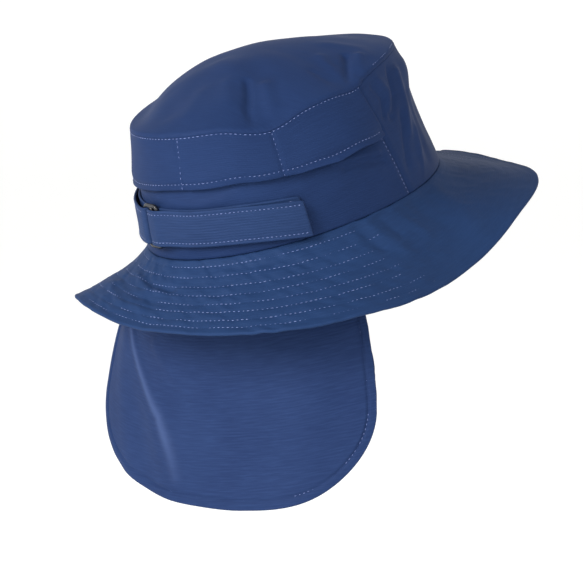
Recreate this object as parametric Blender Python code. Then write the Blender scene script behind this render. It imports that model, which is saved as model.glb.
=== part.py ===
"""Surf hat with a neck flap, in the form in which it is worn: tipped back and a little to its left.

Metres, +Z up. The world origin is the middle of the head opening. The front of the hat looks along +Y.
A bearing is counted in degrees round the hat: 0 is the middle of the back, 90 the right side, facing
forward, 180 the front and -90 the left side.
"""
import math

import bpy
import numpy as np
from mathutils import Matrix

# Head opening, measured on the outside of the cloth
OPENING_LONG = 0.212
OPENING_WIDE = 0.180

# Crown
TOP_LONG = 0.194
TOP_WIDE = 0.164
TOP_BACK_SHIFT = 0.004
WALL_TALL = 0.077
DOME_RISE = 0.0236
DOME_POWER = 1.9
CROWN_THICK = 0.0014

# Brim
BRIM_WIDE = 0.067
BRIM_THICK = 0.0022
BRIM_ROOT_BEND = 30.0
BRIM_EDGE_BEND = 8.7
BRIM_BEND_REACH = 0.22

# Vent flap over the back panel
VENT_DROP = 0.033
VENT_THICK = 0.0011
SEAM_BEARING = 90.0

# Back strap, its ring and the tab that holds the ring
STRAP_WIDE = 0.0212
STRAP_THICK = 0.0014
RING_BEARING = -17.0
RING_TALL = 0.0285
RING_THICK = 0.0024
RING_LONG = 0.0156
RING_RAIL = 0.003
STRAP_END_BEARING = 47.5
TAB_END_BEARING = -55.0

# Neck flap
FLAP_LONG = 0.152
FLAP_WIDE = 0.235
FLAP_TURN = 36.0
FLAP_BACK = OPENING_LONG / 2 - 0.010
FLAP_SPREAD = 60.0
FLAP_FLARE = 2.4
FLAP_CORNER = 0.060
FLAP_CORNER_POWER = 2.6
FLAP_THICK = 0.0013

# How the hat is worn
TIPPED_BACK = 17.6
ROLLED_LEFT = 4.3

# Clearance between neighbouring pieces
GAP = 0.0003

# How far the middle of the strap's cloth stands off the wall: against it, and over the ring
STRAP_AGAINST = GAP + STRAP_THICK / 2
RING_STAND_OFF = 2 * STRAP_AGAINST + GAP + RING_THICK / 2
STRAP_OVER_RING = RING_STAND_OFF + RING_THICK / 2 + STRAP_AGAINST

# Shares are of WALL_TALL for the height, and of the top's half width for the reach and the bulge.
WALL_COLUMNS = ("bearing", "height", "reach", "bulge")
WALL_ROWS = (
    (-180, 1.03, 0.000, 0.000),
    (-135, 1.05, 0.000, 0.000),
    (-90, 1.00, -0.045, 0.000),
    (-45, 1.00, -0.060, 0.000),
    (-20, 1.01, -0.030, 0.000),
    (8, 1.00, 0.002, 0.000),
    (25, 0.985, 0.008, 0.000),
    (44, 0.90, 0.012, 0.000),
    (60, 0.975, 0.003, 0.003),
    (72, 0.985, -0.010, 0.008),
    (82, 0.965, -0.020, 0.011),
    (95, 1.015, -0.022, 0.011),
    (112, 1.045, -0.015, 0.006),
    (135, 1.045, 0.000, 0.000),
    (158, 1.04, 0.000, 0.000),
)

# The width is a share of BRIM_WIDE, the droop is in degrees and the flare multiplies the bends.
BRIM_COLUMNS = ("bearing", "width", "droop", "flare")
BRIM_ROWS = (
    (-180, 0.98, 23.5, 1.00),
    (-135, 0.99, 27.0, 1.00),
    (-90, 0.965, 39.5, 1.00),
    (-60, 0.85, 36.0, 1.10),
    (-35, 0.82, 17.0, 1.13),
    (0, 0.845, 29.0, 1.00),
    (45, 1.03, 35.0, 1.05),
    (90, 0.895, 50.0, 1.00),
    (112, 0.88, 37.0, 1.00),
    (135, 1.00, 28.0, 1.00),
    (158, 0.99, 28.0, 1.00),
)

# Gathers of the side wall. Height and tall are shares of the wall's height and deep one of WALL_TALL.
# Spread is in degrees, and slant is the degrees that a fold turns over the wall's height.
WALL_FOLD_COLUMNS = ("bearing", "height", "slant", "spread", "tall", "deep")
WALL_FOLD_ROWS = (
    (101, 0.72, 24, 4.0, 0.26, -0.040),
    (108, 0.70, 26, 5.0, 0.30, 0.035),
    (97, 0.38, 12, 3.5, 0.16, -0.026),
    (104, 0.16, 12, 4.5, 0.22, -0.034),
    (112, 0.25, 10, 6.0, 0.30, 0.030),
    (127, 0.82, 4, 9.0, 0.15, 0.036),
    (129, 0.44, 4, 9.0, 0.22, -0.040),
    (66, 0.42, -60, 8.0, 0.07, 0.014),
    (-52, 0.20, 0, 16.0, 0.17, -0.032),
    (-112, 0.60, -8, 8.0, 0.40, 0.020),
    (-140, 0.50, 0, 9.0, 0.45, -0.018),
)

# Soft creases of the top. Right and forward are shares of its half sizes, long and wide too.
TOP_FOLD_COLUMNS = ("right", "forward", "turn", "long", "wide", "deep")
TOP_FOLD_ROWS = (
    (0.50, -0.72, 66, 0.20, 0.055, -0.080),
    (0.63, -0.62, 62, 0.26, 0.100, 0.070),
    (0.80, 0.02, 20, 0.22, 0.060, -0.080),
    (0.72, 0.28, 30, 0.34, 0.120, 0.070),
    (0.20, -0.30, 20, 0.40, 0.160, 0.055),
    (-0.10, -0.70, 80, 0.30, 0.160, -0.050),
    (-0.45, 0.10, -30, 0.45, 0.200, 0.050),
    (-0.74, -0.58, -50, 0.60, 0.170, -0.200),
    (-0.40, -0.32, -50, 0.60, 0.240, 0.090),
    (0.20, 0.55, 10, 0.50, 0.180, -0.045),
)

# How far the vent flap hangs down, and how far its free edge stands off, as shares of VENT_DROP.
VENT_COLUMNS = ("bearing", "hang", "stand_off")
VENT_ROWS = (
    (-88, 1.03, 0.02),
    (-66, 1.05, 0.10),
    (-48, 1.04, 0.11),
    (-30, 1.03, 0.06),
    (0, 0.985, 0.03),
    (22, 0.98, 0.05),
    (34, 0.91, 0.05),
    (44, 0.86, 0.06),
    (52, 0.95, 0.10),
    (62, 1.06, 0.12),
    (80, 1.00, 0.11),
    (88, 1.03, 0.03),
)

# Middle height of the strap's two layers, as shares of WALL_TALL.
STRAP_COLUMNS = ("bearing", "lower", "upper")
STRAP_ROWS = (
    (-60, 0.31, 0.31),
    (-42, 0.31, 0.31),
    (-20, 0.29, 0.29),
    (0, 0.275, 0.27),
    (25, 0.25, 0.24),
    (48, 0.20, 0.17),
)

# The strap's way from its sewn end, under the ring, round its middle bar and back over it. Along is in
# degrees, or in shares of RING_LONG from the ring's middle. Lift runs from 0, against the wall, to 1,
# over the ring.
ROUTE_COLUMNS = ("measure", "along", "lift")
STRAP_ROUTE = (
    ("bearing", STRAP_END_BEARING - 0.5, 0.02),
    ("bearing", 36.0, 0.02),
    ("bearing", 24.0, 0.02),
    ("bearing", 12.0, 0.02),
    ("bearing", 0.0, 0.02),
    ("bearing", -8.0, 0.02),
    ("ring", 0.70, 0.02),
    ("ring", 0.26, 0.02),
    ("ring", -0.025, 0.04),
    ("ring", -0.14, 0.20),
    ("ring", -0.18, 0.51),
    ("ring", -0.14, 0.84),
    ("ring", -0.025, 1.02),
    ("ring", 0.26, 1.11),
    ("ring", 0.51, 1.07),
    ("ring", 0.90, 0.69),
    ("bearing", -4.0, 0.47),
    ("bearing", 6.0, 0.47),
    ("bearing", 17.0, 0.47),
    ("bearing", 28.0, 0.51),
    ("bearing", 38.0, 0.62),
    ("bearing", STRAP_END_BEARING, 0.77),
)
TAB_ROUTE = (
    ("bearing", TAB_END_BEARING, 0.02),
    ("bearing", -46.0, 0.02),
    ("bearing", -37.0, 0.02),
    ("ring", -0.80, 0.02),
    ("ring", -0.46, 0.04),
    ("ring", -0.36, 0.20),
    ("ring", -0.325, 0.51),
    ("ring", -0.365, 0.91),
    ("ring", -0.475, 1.11),
    ("ring", -0.77, 1.13),
    ("bearing", -34.0, 0.86),
    ("bearing", -42.0, 0.66),
    ("bearing", -49.0, 0.52),
    ("bearing", TAB_END_BEARING, 0.46),
)

# Edges of the ring's three bars along the strap, in shares of RING_LONG from its middle.
RING_BAR_EDGES = (-0.55, -0.40, -0.077, 0.077, 0.295, 0.45)

# How far down each part of the neck flap hangs, as a share of FLAP_LONG.
FLAP_COLUMNS = ("across", "hang")
FLAP_ROWS = (
    (-1.0, 0.98),
    (-0.6, 0.965),
    (-0.2, 0.975),
    (0.3, 1.01),
    (0.7, 1.047),
    (1.0, 1.03),
)

# Soft folds of the neck flap. Deep is a share of FLAP_WIDE, the slant moves a fold across on its way down.
FLAP_FOLD_COLUMNS = ("across", "slant", "wide", "deep")
FLAP_FOLD_ROWS = (
    (-0.98, 0.42, 0.120, 0.005),
    (-0.74, 0.36, 0.140, -0.005),
    (-0.30, 0.10, 0.160, 0.006),
    (0.22, -0.05, 0.200, -0.006),
    (0.72, -0.10, 0.160, 0.006),
)

NAVY = "#33456F"
NAVY_FLAP = "#36497A"
RING_BLACK = "#0C0F16"

ROUND_STEPS = 64
BRIM_STEPS = 72


def clear_scene():
    for item in list(bpy.data.objects):
        bpy.data.objects.remove(item, do_unlink=True)


def column(columns, rows, name):
    place = columns.index(name)
    return np.array([row[place] for row in rows], float)


def smooth(known_at, known, at, period=None):
    """A smooth curve through the known values: each stretch is a cubic between two of them."""
    known_at, known, at = (np.asarray(v, float) for v in (known_at, known, at))
    if period:
        at = (at - known_at[0]) % period + known_at[0]
        known_at = np.concatenate([[known_at[-1] - period], known_at, known_at[:2] + period])
        known = np.concatenate([known[-1:], known, known[:2]])
    slopes = np.gradient(known, known_at)
    at = np.clip(at, known_at[0], known_at[-1])
    left = np.clip(np.searchsorted(known_at, at, side="right") - 1, 0, len(known_at) - 2)
    step = known_at[left + 1] - known_at[left]
    t = (at - known_at[left]) / step
    start = (1 + 2 * t) * (1 - t) ** 2 * known[left] + t * (1 - t) ** 2 * step * slopes[left]
    finish = t**2 * (3 - 2 * t) * known[left + 1] + t**2 * (t - 1) * step * slopes[left + 1]
    return start + finish


def read_off(columns, rows, name, at, period=None):
    """The smooth value of a table's named column, looked up by its first column."""
    return smooth(column(columns, rows, columns[0]), column(columns, rows, name), at, period)


def round_value(columns, rows, name, bearing):
    return read_off(columns, rows, name, bearing, 360.0)


def table(columns, rows):
    return [dict(zip(columns, row)) for row in rows]


def plan_point(bearing, half_long, half_wide):
    turn = np.radians(bearing)
    return np.stack([half_wide * np.sin(turn), -half_long * np.cos(turn)], -1)


def plan_outward(bearing, half_long=OPENING_LONG / 2, half_wide=OPENING_WIDE / 2):
    turn = np.radians(bearing)
    out = np.stack([half_long * np.sin(turn), -half_wide * np.cos(turn)], -1)
    return out / np.linalg.norm(out, axis=-1, keepdims=True)


def angle_apart(bearing, other):
    return (bearing - other + 180.0) % 360.0 - 180.0


def top_ring(bearing, reach=0.0):
    """The tip seam in plan, with reach metres added outward."""
    wider = round_value(WALL_COLUMNS, WALL_ROWS, "reach", bearing) * TOP_WIDE / 2 + reach
    ring = plan_point(bearing, TOP_LONG / 2, TOP_WIDE / 2)
    ring = ring + plan_outward(bearing, TOP_LONG / 2, TOP_WIDE / 2) * wider[..., None]
    ring[..., 1] -= TOP_BACK_SHIFT
    return ring


def wall_height(bearing):
    return WALL_TALL * round_value(WALL_COLUMNS, WALL_ROWS, "height", bearing)


def wall_relief(bearing, share):
    relief = np.zeros(np.broadcast(bearing, share).shape)
    for fold in table(WALL_FOLD_COLUMNS, WALL_FOLD_ROWS):
        above = share - fold["height"]
        across = angle_apart(bearing, fold["bearing"] + fold["slant"] * above) / fold["spread"]
        relief += WALL_TALL * fold["deep"] * np.exp(-(across**2) - (above / fold["tall"]) ** 2)
    return relief * np.clip(4 * share, 0, 1) * np.clip(8 * (1 - share), 0, 1)


def wall_point(bearing, share, stand_off=0.0):
    """A point on the outside of the side wall, at a share of its height, moved out by stand_off."""
    bearing, share, stand_off = np.broadcast_arrays(bearing, share, stand_off)
    base = plan_point(bearing, OPENING_LONG / 2, OPENING_WIDE / 2)
    plan = base * (1 - share[..., None]) + top_ring(bearing) * share[..., None]
    bulge = round_value(WALL_COLUMNS, WALL_ROWS, "bulge", bearing) * TOP_WIDE / 2
    out = bulge * np.sin(np.pi * share) + wall_relief(bearing, share) + stand_off
    plan = plan + plan_outward(bearing) * out[..., None]
    return np.concatenate([plan, (wall_height(bearing) * share)[..., None]], -1)


def vent_cover(bearing):
    """1 where the vent flap lies over the wall, falling to 0 at the side seams."""
    return np.clip((SEAM_BEARING - np.abs(angle_apart(bearing, 0.0))) / 3.0, 0, 1)


def top_relief(plan):
    relief = np.zeros(plan.shape[:-1])
    right = plan[..., 0] / (TOP_WIDE / 2)
    forward = plan[..., 1] / (TOP_LONG / 2)
    for fold in table(TOP_FOLD_COLUMNS, TOP_FOLD_ROWS):
        c, s = math.cos(math.radians(fold["turn"])), math.sin(math.radians(fold["turn"]))
        along = (right - fold["right"]) * c + (forward - fold["forward"]) * s
        over = -(right - fold["right"]) * s + (forward - fold["forward"]) * c
        size = (along / fold["long"]) ** 2 + (over / fold["wide"]) ** 2
        relief += DOME_RISE * fold["deep"] * np.exp(-size)
    return relief


def top_point(bearing, ring):
    """A point on the underside of the top, from ring 1 at the seam to ring 0 in the middle."""
    bearing, ring = np.broadcast_arrays(bearing, ring)
    rim = top_ring(bearing, (GAP + VENT_THICK) * vent_cover(bearing))
    middle = np.array([0.0, -TOP_BACK_SHIFT])
    plan = middle + (rim - middle) * ring[..., None]
    centre = WALL_TALL * np.mean(column(WALL_COLUMNS, WALL_ROWS, "height"))
    height = wall_height(bearing) * ring**2 + centre * (1 - ring**2)
    height = height + DOME_RISE * (1 - ring**DOME_POWER) + GAP
    height = height + top_relief(plan) * np.clip(5 * (1 - ring), 0, 1)
    return np.concatenate([plan, height[..., None]], -1)


def brim_point(bearings, shares):
    """Points on the brim's upper side: a grid of bearings by shares of its width."""
    droop = round_value(BRIM_COLUMNS, BRIM_ROWS, "droop", bearings)[:, None]
    flare = round_value(BRIM_COLUMNS, BRIM_ROWS, "flare", bearings)[:, None]
    width = BRIM_WIDE * round_value(BRIM_COLUMNS, BRIM_ROWS, "width", bearings)
    fine = np.linspace(0, 1, 41)[None]
    bend = flare * (BRIM_ROOT_BEND * np.exp(-fine / BRIM_BEND_REACH) - BRIM_EDGE_BEND)
    fall = np.radians(droop + bend)
    out = np.concatenate([0 * droop, np.cumsum(np.cos(fall[:, 1:]) / 40, 1)], 1)
    down = np.concatenate([0 * droop, np.cumsum(np.sin(fall[:, 1:]) / 40, 1)], 1)
    grid = np.zeros((len(bearings), len(shares), 3))
    base = plan_point(bearings, OPENING_LONG / 2, OPENING_WIDE / 2)
    outward = plan_outward(bearings)
    for i in range(len(bearings)):
        reach = width[i] * np.interp(shares, fine[0], out[i])
        grid[i, :, :2] = base[i] + outward[i] * reach[:, None]
        grid[i, :, 2] = -GAP - width[i] * np.interp(shares, fine[0], down[i])
    return grid


def worn_tilt():
    back = Matrix.Rotation(math.radians(TIPPED_BACK), 3, "X")
    left = Matrix.Rotation(math.radians(-ROLLED_LEFT), 3, "Y")
    return back @ left


def flap_root(across):
    """The neck flap's upper edge, just inside the root of the brim, in the world."""
    bearing = FLAP_SPREAD * across
    inside = BRIM_THICK + GAP + FLAP_THICK / 2
    plan = plan_point(bearing, OPENING_LONG / 2, OPENING_WIDE / 2) - plan_outward(bearing) * inside
    level = np.full(plan.shape[:-1] + (1,), -BRIM_THICK)
    return np.concatenate([plan, level], -1) @ np.array(worn_tilt()).T


def flap_point(across, down):
    """A point of the neck flap in the world: across runs from -1, left, to 1, right."""
    across, down = np.broadcast_arrays(across, down)
    root = flap_root(across)
    radius = FLAP_WIDE / 2 / math.radians(FLAP_TURN)
    turn = np.radians(FLAP_TURN) * across
    low = np.stack([radius * np.sin(turn), radius * (1 - np.cos(turn)) - FLAP_BACK], -1)
    hang = FLAP_LONG * read_off(FLAP_COLUMNS, FLAP_ROWS, "hang", across)
    corner = (1 - np.abs(across) ** FLAP_CORNER_POWER) ** (1 / FLAP_CORNER_POWER)
    length = hang - FLAP_CORNER * (1 - corner)
    spread = 1 - (1 - np.clip(down * length / FLAP_LONG, 0, 1)) ** FLAP_FLARE
    plan = root[..., :2] + (low - root[..., :2]) * spread[..., None]
    relief = np.zeros(across.shape)
    for fold in table(FLAP_FOLD_COLUMNS, FLAP_FOLD_ROWS):
        over = (across - fold["across"] - fold["slant"] * down) / fold["wide"]
        relief += FLAP_WIDE * fold["deep"] * np.exp(-(over**2))
    outward = np.stack([np.sin(turn), -np.cos(turn)], -1)
    plan = plan + outward * (relief * np.clip(2 * down, 0, 1))[..., None]
    return np.concatenate([plan, (root[..., 2] - down * length)[..., None]], -1)


def material(name, colour, roughness):
    made = bpy.data.materials.new(name)
    made.use_nodes = True
    shader = made.node_tree.nodes["Principled BSDF"]
    parts = [int(colour[i : i + 2], 16) / 255 for i in (1, 3, 5)]
    linear = [v / 12.92 if v <= 0.04045 else ((v + 0.055) / 1.055) ** 2.4 for v in parts]
    shader.inputs["Base Color"].default_value = (*linear, 1.0)
    shader.inputs["Roughness"].default_value = roughness
    shader.inputs["Metallic"].default_value = 0.0
    made.diffuse_color = (*linear, 1.0)
    return made


def mesh_object(name, points, faces, look, parent):
    mesh = bpy.data.meshes.new(name)
    mesh.from_pydata([tuple(p) for p in points], [], faces)
    mesh.validate()
    mesh.materials.append(look)
    mesh.shade_smooth()
    made = bpy.data.objects.new(name, mesh)
    bpy.context.scene.collection.objects.link(made)
    made.parent = parent
    return made


def grid_faces(rows, columns, closed):
    faces = []
    for i in range(rows if closed else rows - 1):
        j = (i + 1) % rows
        for k in range(columns - 1):
            faces.append((i * columns + k, j * columns + k, j * columns + k + 1, i * columns + k + 1))
    return faces


def cloth(name, grid, thick, side, look, parent, closed=False):
    """A piece of cloth: a grid of points made thick. side is 1, 0 or -1, as Solidify's offset."""
    rows, columns = grid.shape[:2]
    made = mesh_object(name, grid.reshape(-1, 3), grid_faces(rows, columns, closed), look, parent)
    add_thickness(made, thick, side)
    return made


def add_thickness(made, thick, side):
    solid = made.modifiers.new("thickness", "SOLIDIFY")
    solid.thickness = thick
    solid.offset = side
    solid.use_even_offset = True
    solid.use_rim = True


def make_crown_top(look, parent):
    bearings = np.arange(ROUND_STEPS) * 360.0 / ROUND_STEPS
    rings = np.array([1.0, 0.95, 0.87, 0.76, 0.63, 0.49, 0.34, 0.18])
    grid = top_point(bearings[:, None], rings[None])
    middle = top_point(np.array([0.0]), np.array([0.0]))
    points = np.concatenate([grid.reshape(-1, 3), middle])
    faces = grid_faces(ROUND_STEPS, len(rings), True)
    last = len(rings) - 1
    for i in range(ROUND_STEPS):
        j = (i + 1) % ROUND_STEPS
        faces.append((i * len(rings) + last, j * len(rings) + last, len(points) - 1))
    lifted = np.concatenate([points, points + np.array([0.0, 0.0, CROWN_THICK])])
    count = len(points)
    upper = [tuple(v + count for v in face) for face in faces]
    lower = [tuple(reversed(face)) for face in faces]
    rim = []
    for i in range(ROUND_STEPS):
        a, b = i * len(rings), (i + 1) % ROUND_STEPS * len(rings)
        rim.append((a, b, b + count, a + count))
    mesh_object("crown_top", lifted, upper + lower + rim, look, parent)


def make_wall_panel(name, first, last, steps, look, parent):
    side_gap = math.degrees(GAP / OPENING_LONG)
    bearings = np.linspace(first + side_gap, last - side_gap, steps)
    shares = np.array([0.0, 0.1, 0.22, 0.36, 0.5, 0.64, 0.78, 0.9, 1.0])
    grid = wall_point(bearings[:, None], shares[None])
    cloth(name, grid, CROWN_THICK, -1, look, parent)


def make_vent_flap(look, parent):
    side_gap = math.degrees(GAP / OPENING_LONG)
    bearings = np.linspace(-SEAM_BEARING + side_gap, SEAM_BEARING - side_gap, 46)
    downs = np.array([0.0, 0.3, 0.65, 1.0])
    edge = VENT_DROP * read_off(VENT_COLUMNS, VENT_ROWS, "stand_off", bearings)
    stand = edge[:, None] * downs[None] ** 1.4
    drop = VENT_DROP * read_off(VENT_COLUMNS, VENT_ROWS, "hang", bearings)
    shares = 1 - downs[None] * (drop / wall_height(bearings))[:, None]
    grid = wall_point(bearings[:, None], shares, GAP + stand)
    cloth("vent_flap", grid[:, ::-1], VENT_THICK, 1, look, parent)


def make_brim(look, parent):
    bearings = np.arange(BRIM_STEPS) * 360.0 / BRIM_STEPS
    shares = np.array([0.0, 0.07, 0.16, 0.3, 0.5, 0.75, 1.0])
    grid = brim_point(bearings, shares)
    cloth("brim", grid[:, ::-1], BRIM_THICK, -1, look, parent, closed=True)


def make_neck_flap(look):
    across = np.sin(np.radians(np.linspace(-90, 90, 31)))
    across = 0.55 * across + 0.45 * np.linspace(-1, 1, 31)
    downs = np.linspace(0, 1, 13)
    grid = flap_point(across[:, None], downs[None])
    cloth("neck_flap", grid, FLAP_THICK, 0, look, None)


def band(name, route, layer_of, look, parent):
    """A flat band that follows the wall along a route, with its two edges above and below it."""
    per_metre = 360.0 / (math.pi * (OPENING_LONG + OPENING_WIDE) / 2)
    bearing = []
    for row in table(ROUTE_COLUMNS, route):
        on_ring = row["measure"] == "ring"
        bearing.append(RING_BEARING + row["along"] * RING_LONG * per_metre if on_ring else row["along"])
    stand_off = STRAP_AGAINST + column(ROUTE_COLUMNS, route, "lift") * (STRAP_OVER_RING - STRAP_AGAINST)
    at = np.arange(len(route), dtype=float)
    fine = np.arange(2 * len(route) - 1) / 2
    bearing, stand_off = smooth(at, bearing, fine), smooth(at, stand_off, fine)
    lower = read_off(STRAP_COLUMNS, STRAP_ROWS, "lower", bearing)
    upper = read_off(STRAP_COLUMNS, STRAP_ROWS, "upper", bearing)
    middle = WALL_TALL * (lower + (upper - lower) * layer_of(fine))
    grid = []
    for side in (-0.5, 0.5):
        share = (middle + side * STRAP_WIDE) / wall_height(bearing)
        grid.append(wall_point(bearing, share, stand_off))
    cloth(name, np.stack(grid, 1), STRAP_THICK, 0, look, parent)


def make_strap_and_tab(look, parent):
    band("size_strap", STRAP_ROUTE, lambda at: np.clip((at - 7) / 6, 0, 1), look, parent)
    band("ring_tab", TAB_ROUTE, lambda at: 0 * at, look, parent)


def make_strap_ring(look, parent):
    """A flat loop with three bars between two rails, standing tangent to the wall."""
    half = RING_TALL / 2
    ups = (-half, -half + RING_RAIL, half - RING_RAIL, half)
    corners = [(edge * RING_LONG, u) for edge in RING_BAR_EDGES for u in ups]
    faces = []
    for i in range(len(RING_BAR_EDGES) - 1):
        for k in range(len(ups) - 1):
            window = k == 1 and i in (1, 3)
            if not window:
                a = i * len(ups) + k
                faces.append((a, a + len(ups), a + len(ups) + 1, a + 1))
    height = WALL_TALL * read_off(STRAP_COLUMNS, STRAP_ROWS, "lower", RING_BEARING)
    bearing = np.array([RING_BEARING])
    centre = wall_point(bearing, height / wall_height(bearing), RING_STAND_OFF)[0]
    raised = wall_point(bearing, 0.02 + height / wall_height(bearing), RING_STAND_OFF)[0]
    out = np.append(plan_outward(bearing)[0], 0.0)
    up = (raised - centre) / np.linalg.norm(raised - centre)
    along = np.cross(up, out)
    along = along / np.linalg.norm(along)
    points = [centre + along * a + up * u for a, u in corners]
    made = mesh_object("strap_ring", points, faces, look, parent)
    add_thickness(made, RING_THICK, 0)
    soft = made.modifiers.new("rounded", "BEVEL")
    soft.width = RING_THICK * 0.28
    soft.segments = 1
    soft.limit_method = "ANGLE"


def build():
    clear_scene()
    tilt = bpy.data.objects.new("worn_tilt", None)
    bpy.context.scene.collection.objects.link(tilt)
    tilt.rotation_mode = "QUATERNION"
    tilt.rotation_quaternion = worn_tilt().to_quaternion()
    make_crown_top(material("top cloth", NAVY, 0.75), tilt)
    make_wall_panel("crown_back_panel", -90.0, 90.0, 37, material("back cloth", NAVY, 0.75), tilt)
    make_wall_panel("crown_front_panel", 90.0, 270.0, 61, material("front cloth", NAVY, 0.75), tilt)
    make_vent_flap(material("vent cloth", NAVY, 0.75), tilt)
    make_brim(material("brim cloth", NAVY, 0.75), tilt)
    make_neck_flap(material("flap cloth", NAVY_FLAP, 0.75))
    make_strap_and_tab(material("strap cloth", NAVY_FLAP, 0.75), tilt)
    make_strap_ring(material("ring plastic", RING_BLACK, 0.35), tilt)


build()
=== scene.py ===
"""Surf hat, dressed: navy nylon cloth, its stitching and the strap ring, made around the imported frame.

Metres, +Z up. The world origin is the middle of the head opening, and the front of the hat looks along +Y.
A bearing is in degrees round the hat: 0 is the middle of the back, 90 the right side, 180 the front and
-90 the left side. Most shapes are worked out for a level hat and then tipped as the frame is.
"""
import math

import bpy
import numpy as np
from mathutils import Matrix, Vector


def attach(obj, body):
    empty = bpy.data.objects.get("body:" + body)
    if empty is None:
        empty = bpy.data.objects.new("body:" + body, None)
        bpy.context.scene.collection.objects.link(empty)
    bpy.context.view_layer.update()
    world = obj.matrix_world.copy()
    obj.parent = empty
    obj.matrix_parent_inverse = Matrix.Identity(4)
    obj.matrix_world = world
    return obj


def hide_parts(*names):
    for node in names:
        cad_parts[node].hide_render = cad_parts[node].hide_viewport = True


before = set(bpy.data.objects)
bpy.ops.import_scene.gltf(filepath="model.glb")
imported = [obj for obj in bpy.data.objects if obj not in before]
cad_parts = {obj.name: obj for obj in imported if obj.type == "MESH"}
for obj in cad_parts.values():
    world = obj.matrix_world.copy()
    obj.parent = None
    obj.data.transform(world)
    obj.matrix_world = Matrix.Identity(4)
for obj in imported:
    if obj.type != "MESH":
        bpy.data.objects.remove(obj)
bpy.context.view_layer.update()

# Sizes of the hat, as in the solids
OPENING_LONG = 0.212
OPENING_WIDE = 0.180
TOP_LONG = 0.194
TOP_WIDE = 0.164
TOP_BACK_SHIFT = 0.004
WALL_TALL = 0.077
DOME_RISE = 0.0236
DOME_POWER = 1.9
CROWN_THICK = 0.0014
BRIM_WIDE = 0.067
BRIM_THICK = 0.0022
BRIM_ROOT_BEND = 30.0
BRIM_EDGE_BEND = 8.7
BRIM_BEND_REACH = 0.22
VENT_DROP = 0.033
VENT_THICK = 0.0011
STRAP_WIDE = 0.0212
STRAP_THICK = 0.0014
RING_BEARING = -17.0
RING_TALL = 0.0285
RING_THICK = 0.0024
RING_LONG = 0.0156
RING_RAIL = 0.003
STRAP_END_BEARING = 47.5
TAB_END_BEARING = -55.0
FLAP_LONG = 0.152
FLAP_WIDE = 0.235
FLAP_TURN = 36.0
FLAP_BACK = OPENING_LONG / 2 - 0.010
FLAP_SPREAD = 60.0
FLAP_FLARE = 2.4
FLAP_CORNER = 0.060
FLAP_CORNER_POWER = 2.6
FLAP_THICK = 0.0013
TIPPED_BACK = 17.6
ROLLED_LEFT = 4.3
GAP = 0.0003
STRAP_AGAINST = GAP + STRAP_THICK / 2
RING_STAND_OFF = 2 * STRAP_AGAINST + GAP + RING_THICK / 2
STRAP_OVER_RING = RING_STAND_OFF + RING_THICK / 2 + STRAP_AGAINST

MM = 0.001

# Metres of cloth for each degree round the crown, for laying out creases and patterns
DEGREE = 0.00171

# How cloth turns in at an edge: fine at the wall's tip and on the vent flap, full at the wall's foot
# and the top's rim
FINE_ROLL = 0.0012
FULL_ROLL = 0.0016

# Finished cloth: thinner than the solids, whose walls hold their seams
TOP_CLOTH_THICK = 0.0012
WALL_CLOTH_THICK = 0.0013
FLAP_CLOTH_THICK = 0.0010
VENT_CLOTH_THICK = 0.0008
VENT_HEM_THICKER = 0.0002
BRIM_CLOTH_THICK = BRIM_THICK - 0.0002
BAND_CLOTH_THICK = STRAP_THICK + 0.0002

# Reliefs fade out towards an edge: over these shares of the wall, the top, the brim and the neck flap
WALL_FOOT_FADE = 0.25
WALL_TIP_FADE = 0.125
TOP_RIM_FADE = 1 / 7
BRIM_ROOT_FADE = 0.04
FLAP_ROOT_FADE = 0.5

# The right side seam's bearing at the wall's foot, and how far it leans back on its way up
SIDE_SEAM_FOOT = 91.3
SIDE_SEAM_LEAN = 6.0

# Bearings at which the vent flap is sewn down to the wall
VENT_SEWN_AT = (-45.0, 5.0, 44.5)

# How far each of those rows leans over its height, in degrees
VENT_ROWS_LEAN = (0.0, 3.0, 0.0)

# The vent flap's lifted edge and the hollow of the wall behind it fade out before this bearing, which is
# a little past the flap's ends
VENT_END = 90.0
VENT_END_FADE = 3.0
VENT_EDGE_LIFT = 0.0006
VENT_LIFT_POWER = 1.4
VENT_RIPPLE_FADE = 0.006

# Hollow of the wall behind the vent flap's free edge: depth, then height and reach as shares of the wall
UNDER_VENT_DEEP = 0.0012
UNDER_VENT_AT = 0.57
UNDER_VENT_REACH = 0.05

# The brim puckers between its rows most at the back, where the photograph shows it, and least elsewhere
PUCKER_MIDDLE = 18.0
PUCKER_SPREAD = 56.0
PUCKER_LEAST = 0.30
PUCKER_LEAN = 0.8
PUCKER_RISE = 0.25
CROSS_PUCKER_LEAN = 0.5

# Steps in which the brim's fall is added up, from its root to its edge
BRIM_STEPS = 40

# The neck flap's hem: its width, how much thicker it is and over what step, and how far its ripples reach in
FLAP_HEM = 0.0053
FLAP_HEM_THICKER = 0.0005
FLAP_HEM_STEP = 0.0010
FLAP_HEM_REACH = 0.006

# Stitches: the thread is 0.35 mm thick and drawn 0.40 mm wide so that it shows
STITCH_LONG = 0.0016
STITCH_WIDE = 0.00040
SEAM_PITCH = 0.0029
STRAP_PITCH = 0.0026
THREAD_LIFT = 0.00008

# Slack of the thread: it is pulled up to PULLED_MOST millimetres into the cloth, in waves of PULLED_WAVE
PULLED_MOST = 0.22
PULLED_SHARE = 0.3
PULLED_WAVE = 0.009

# How far rows of stitches run inside an edge: hems, the tip seam, and both edges of the strap
HEM_IN = 0.0034
TOP_ROW_IN = 0.0011
STRAP_ROW_IN = 0.0019

# How far the rows beside the side seams run from them, in degrees
SEAM_ROW_IN = 0.9

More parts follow.
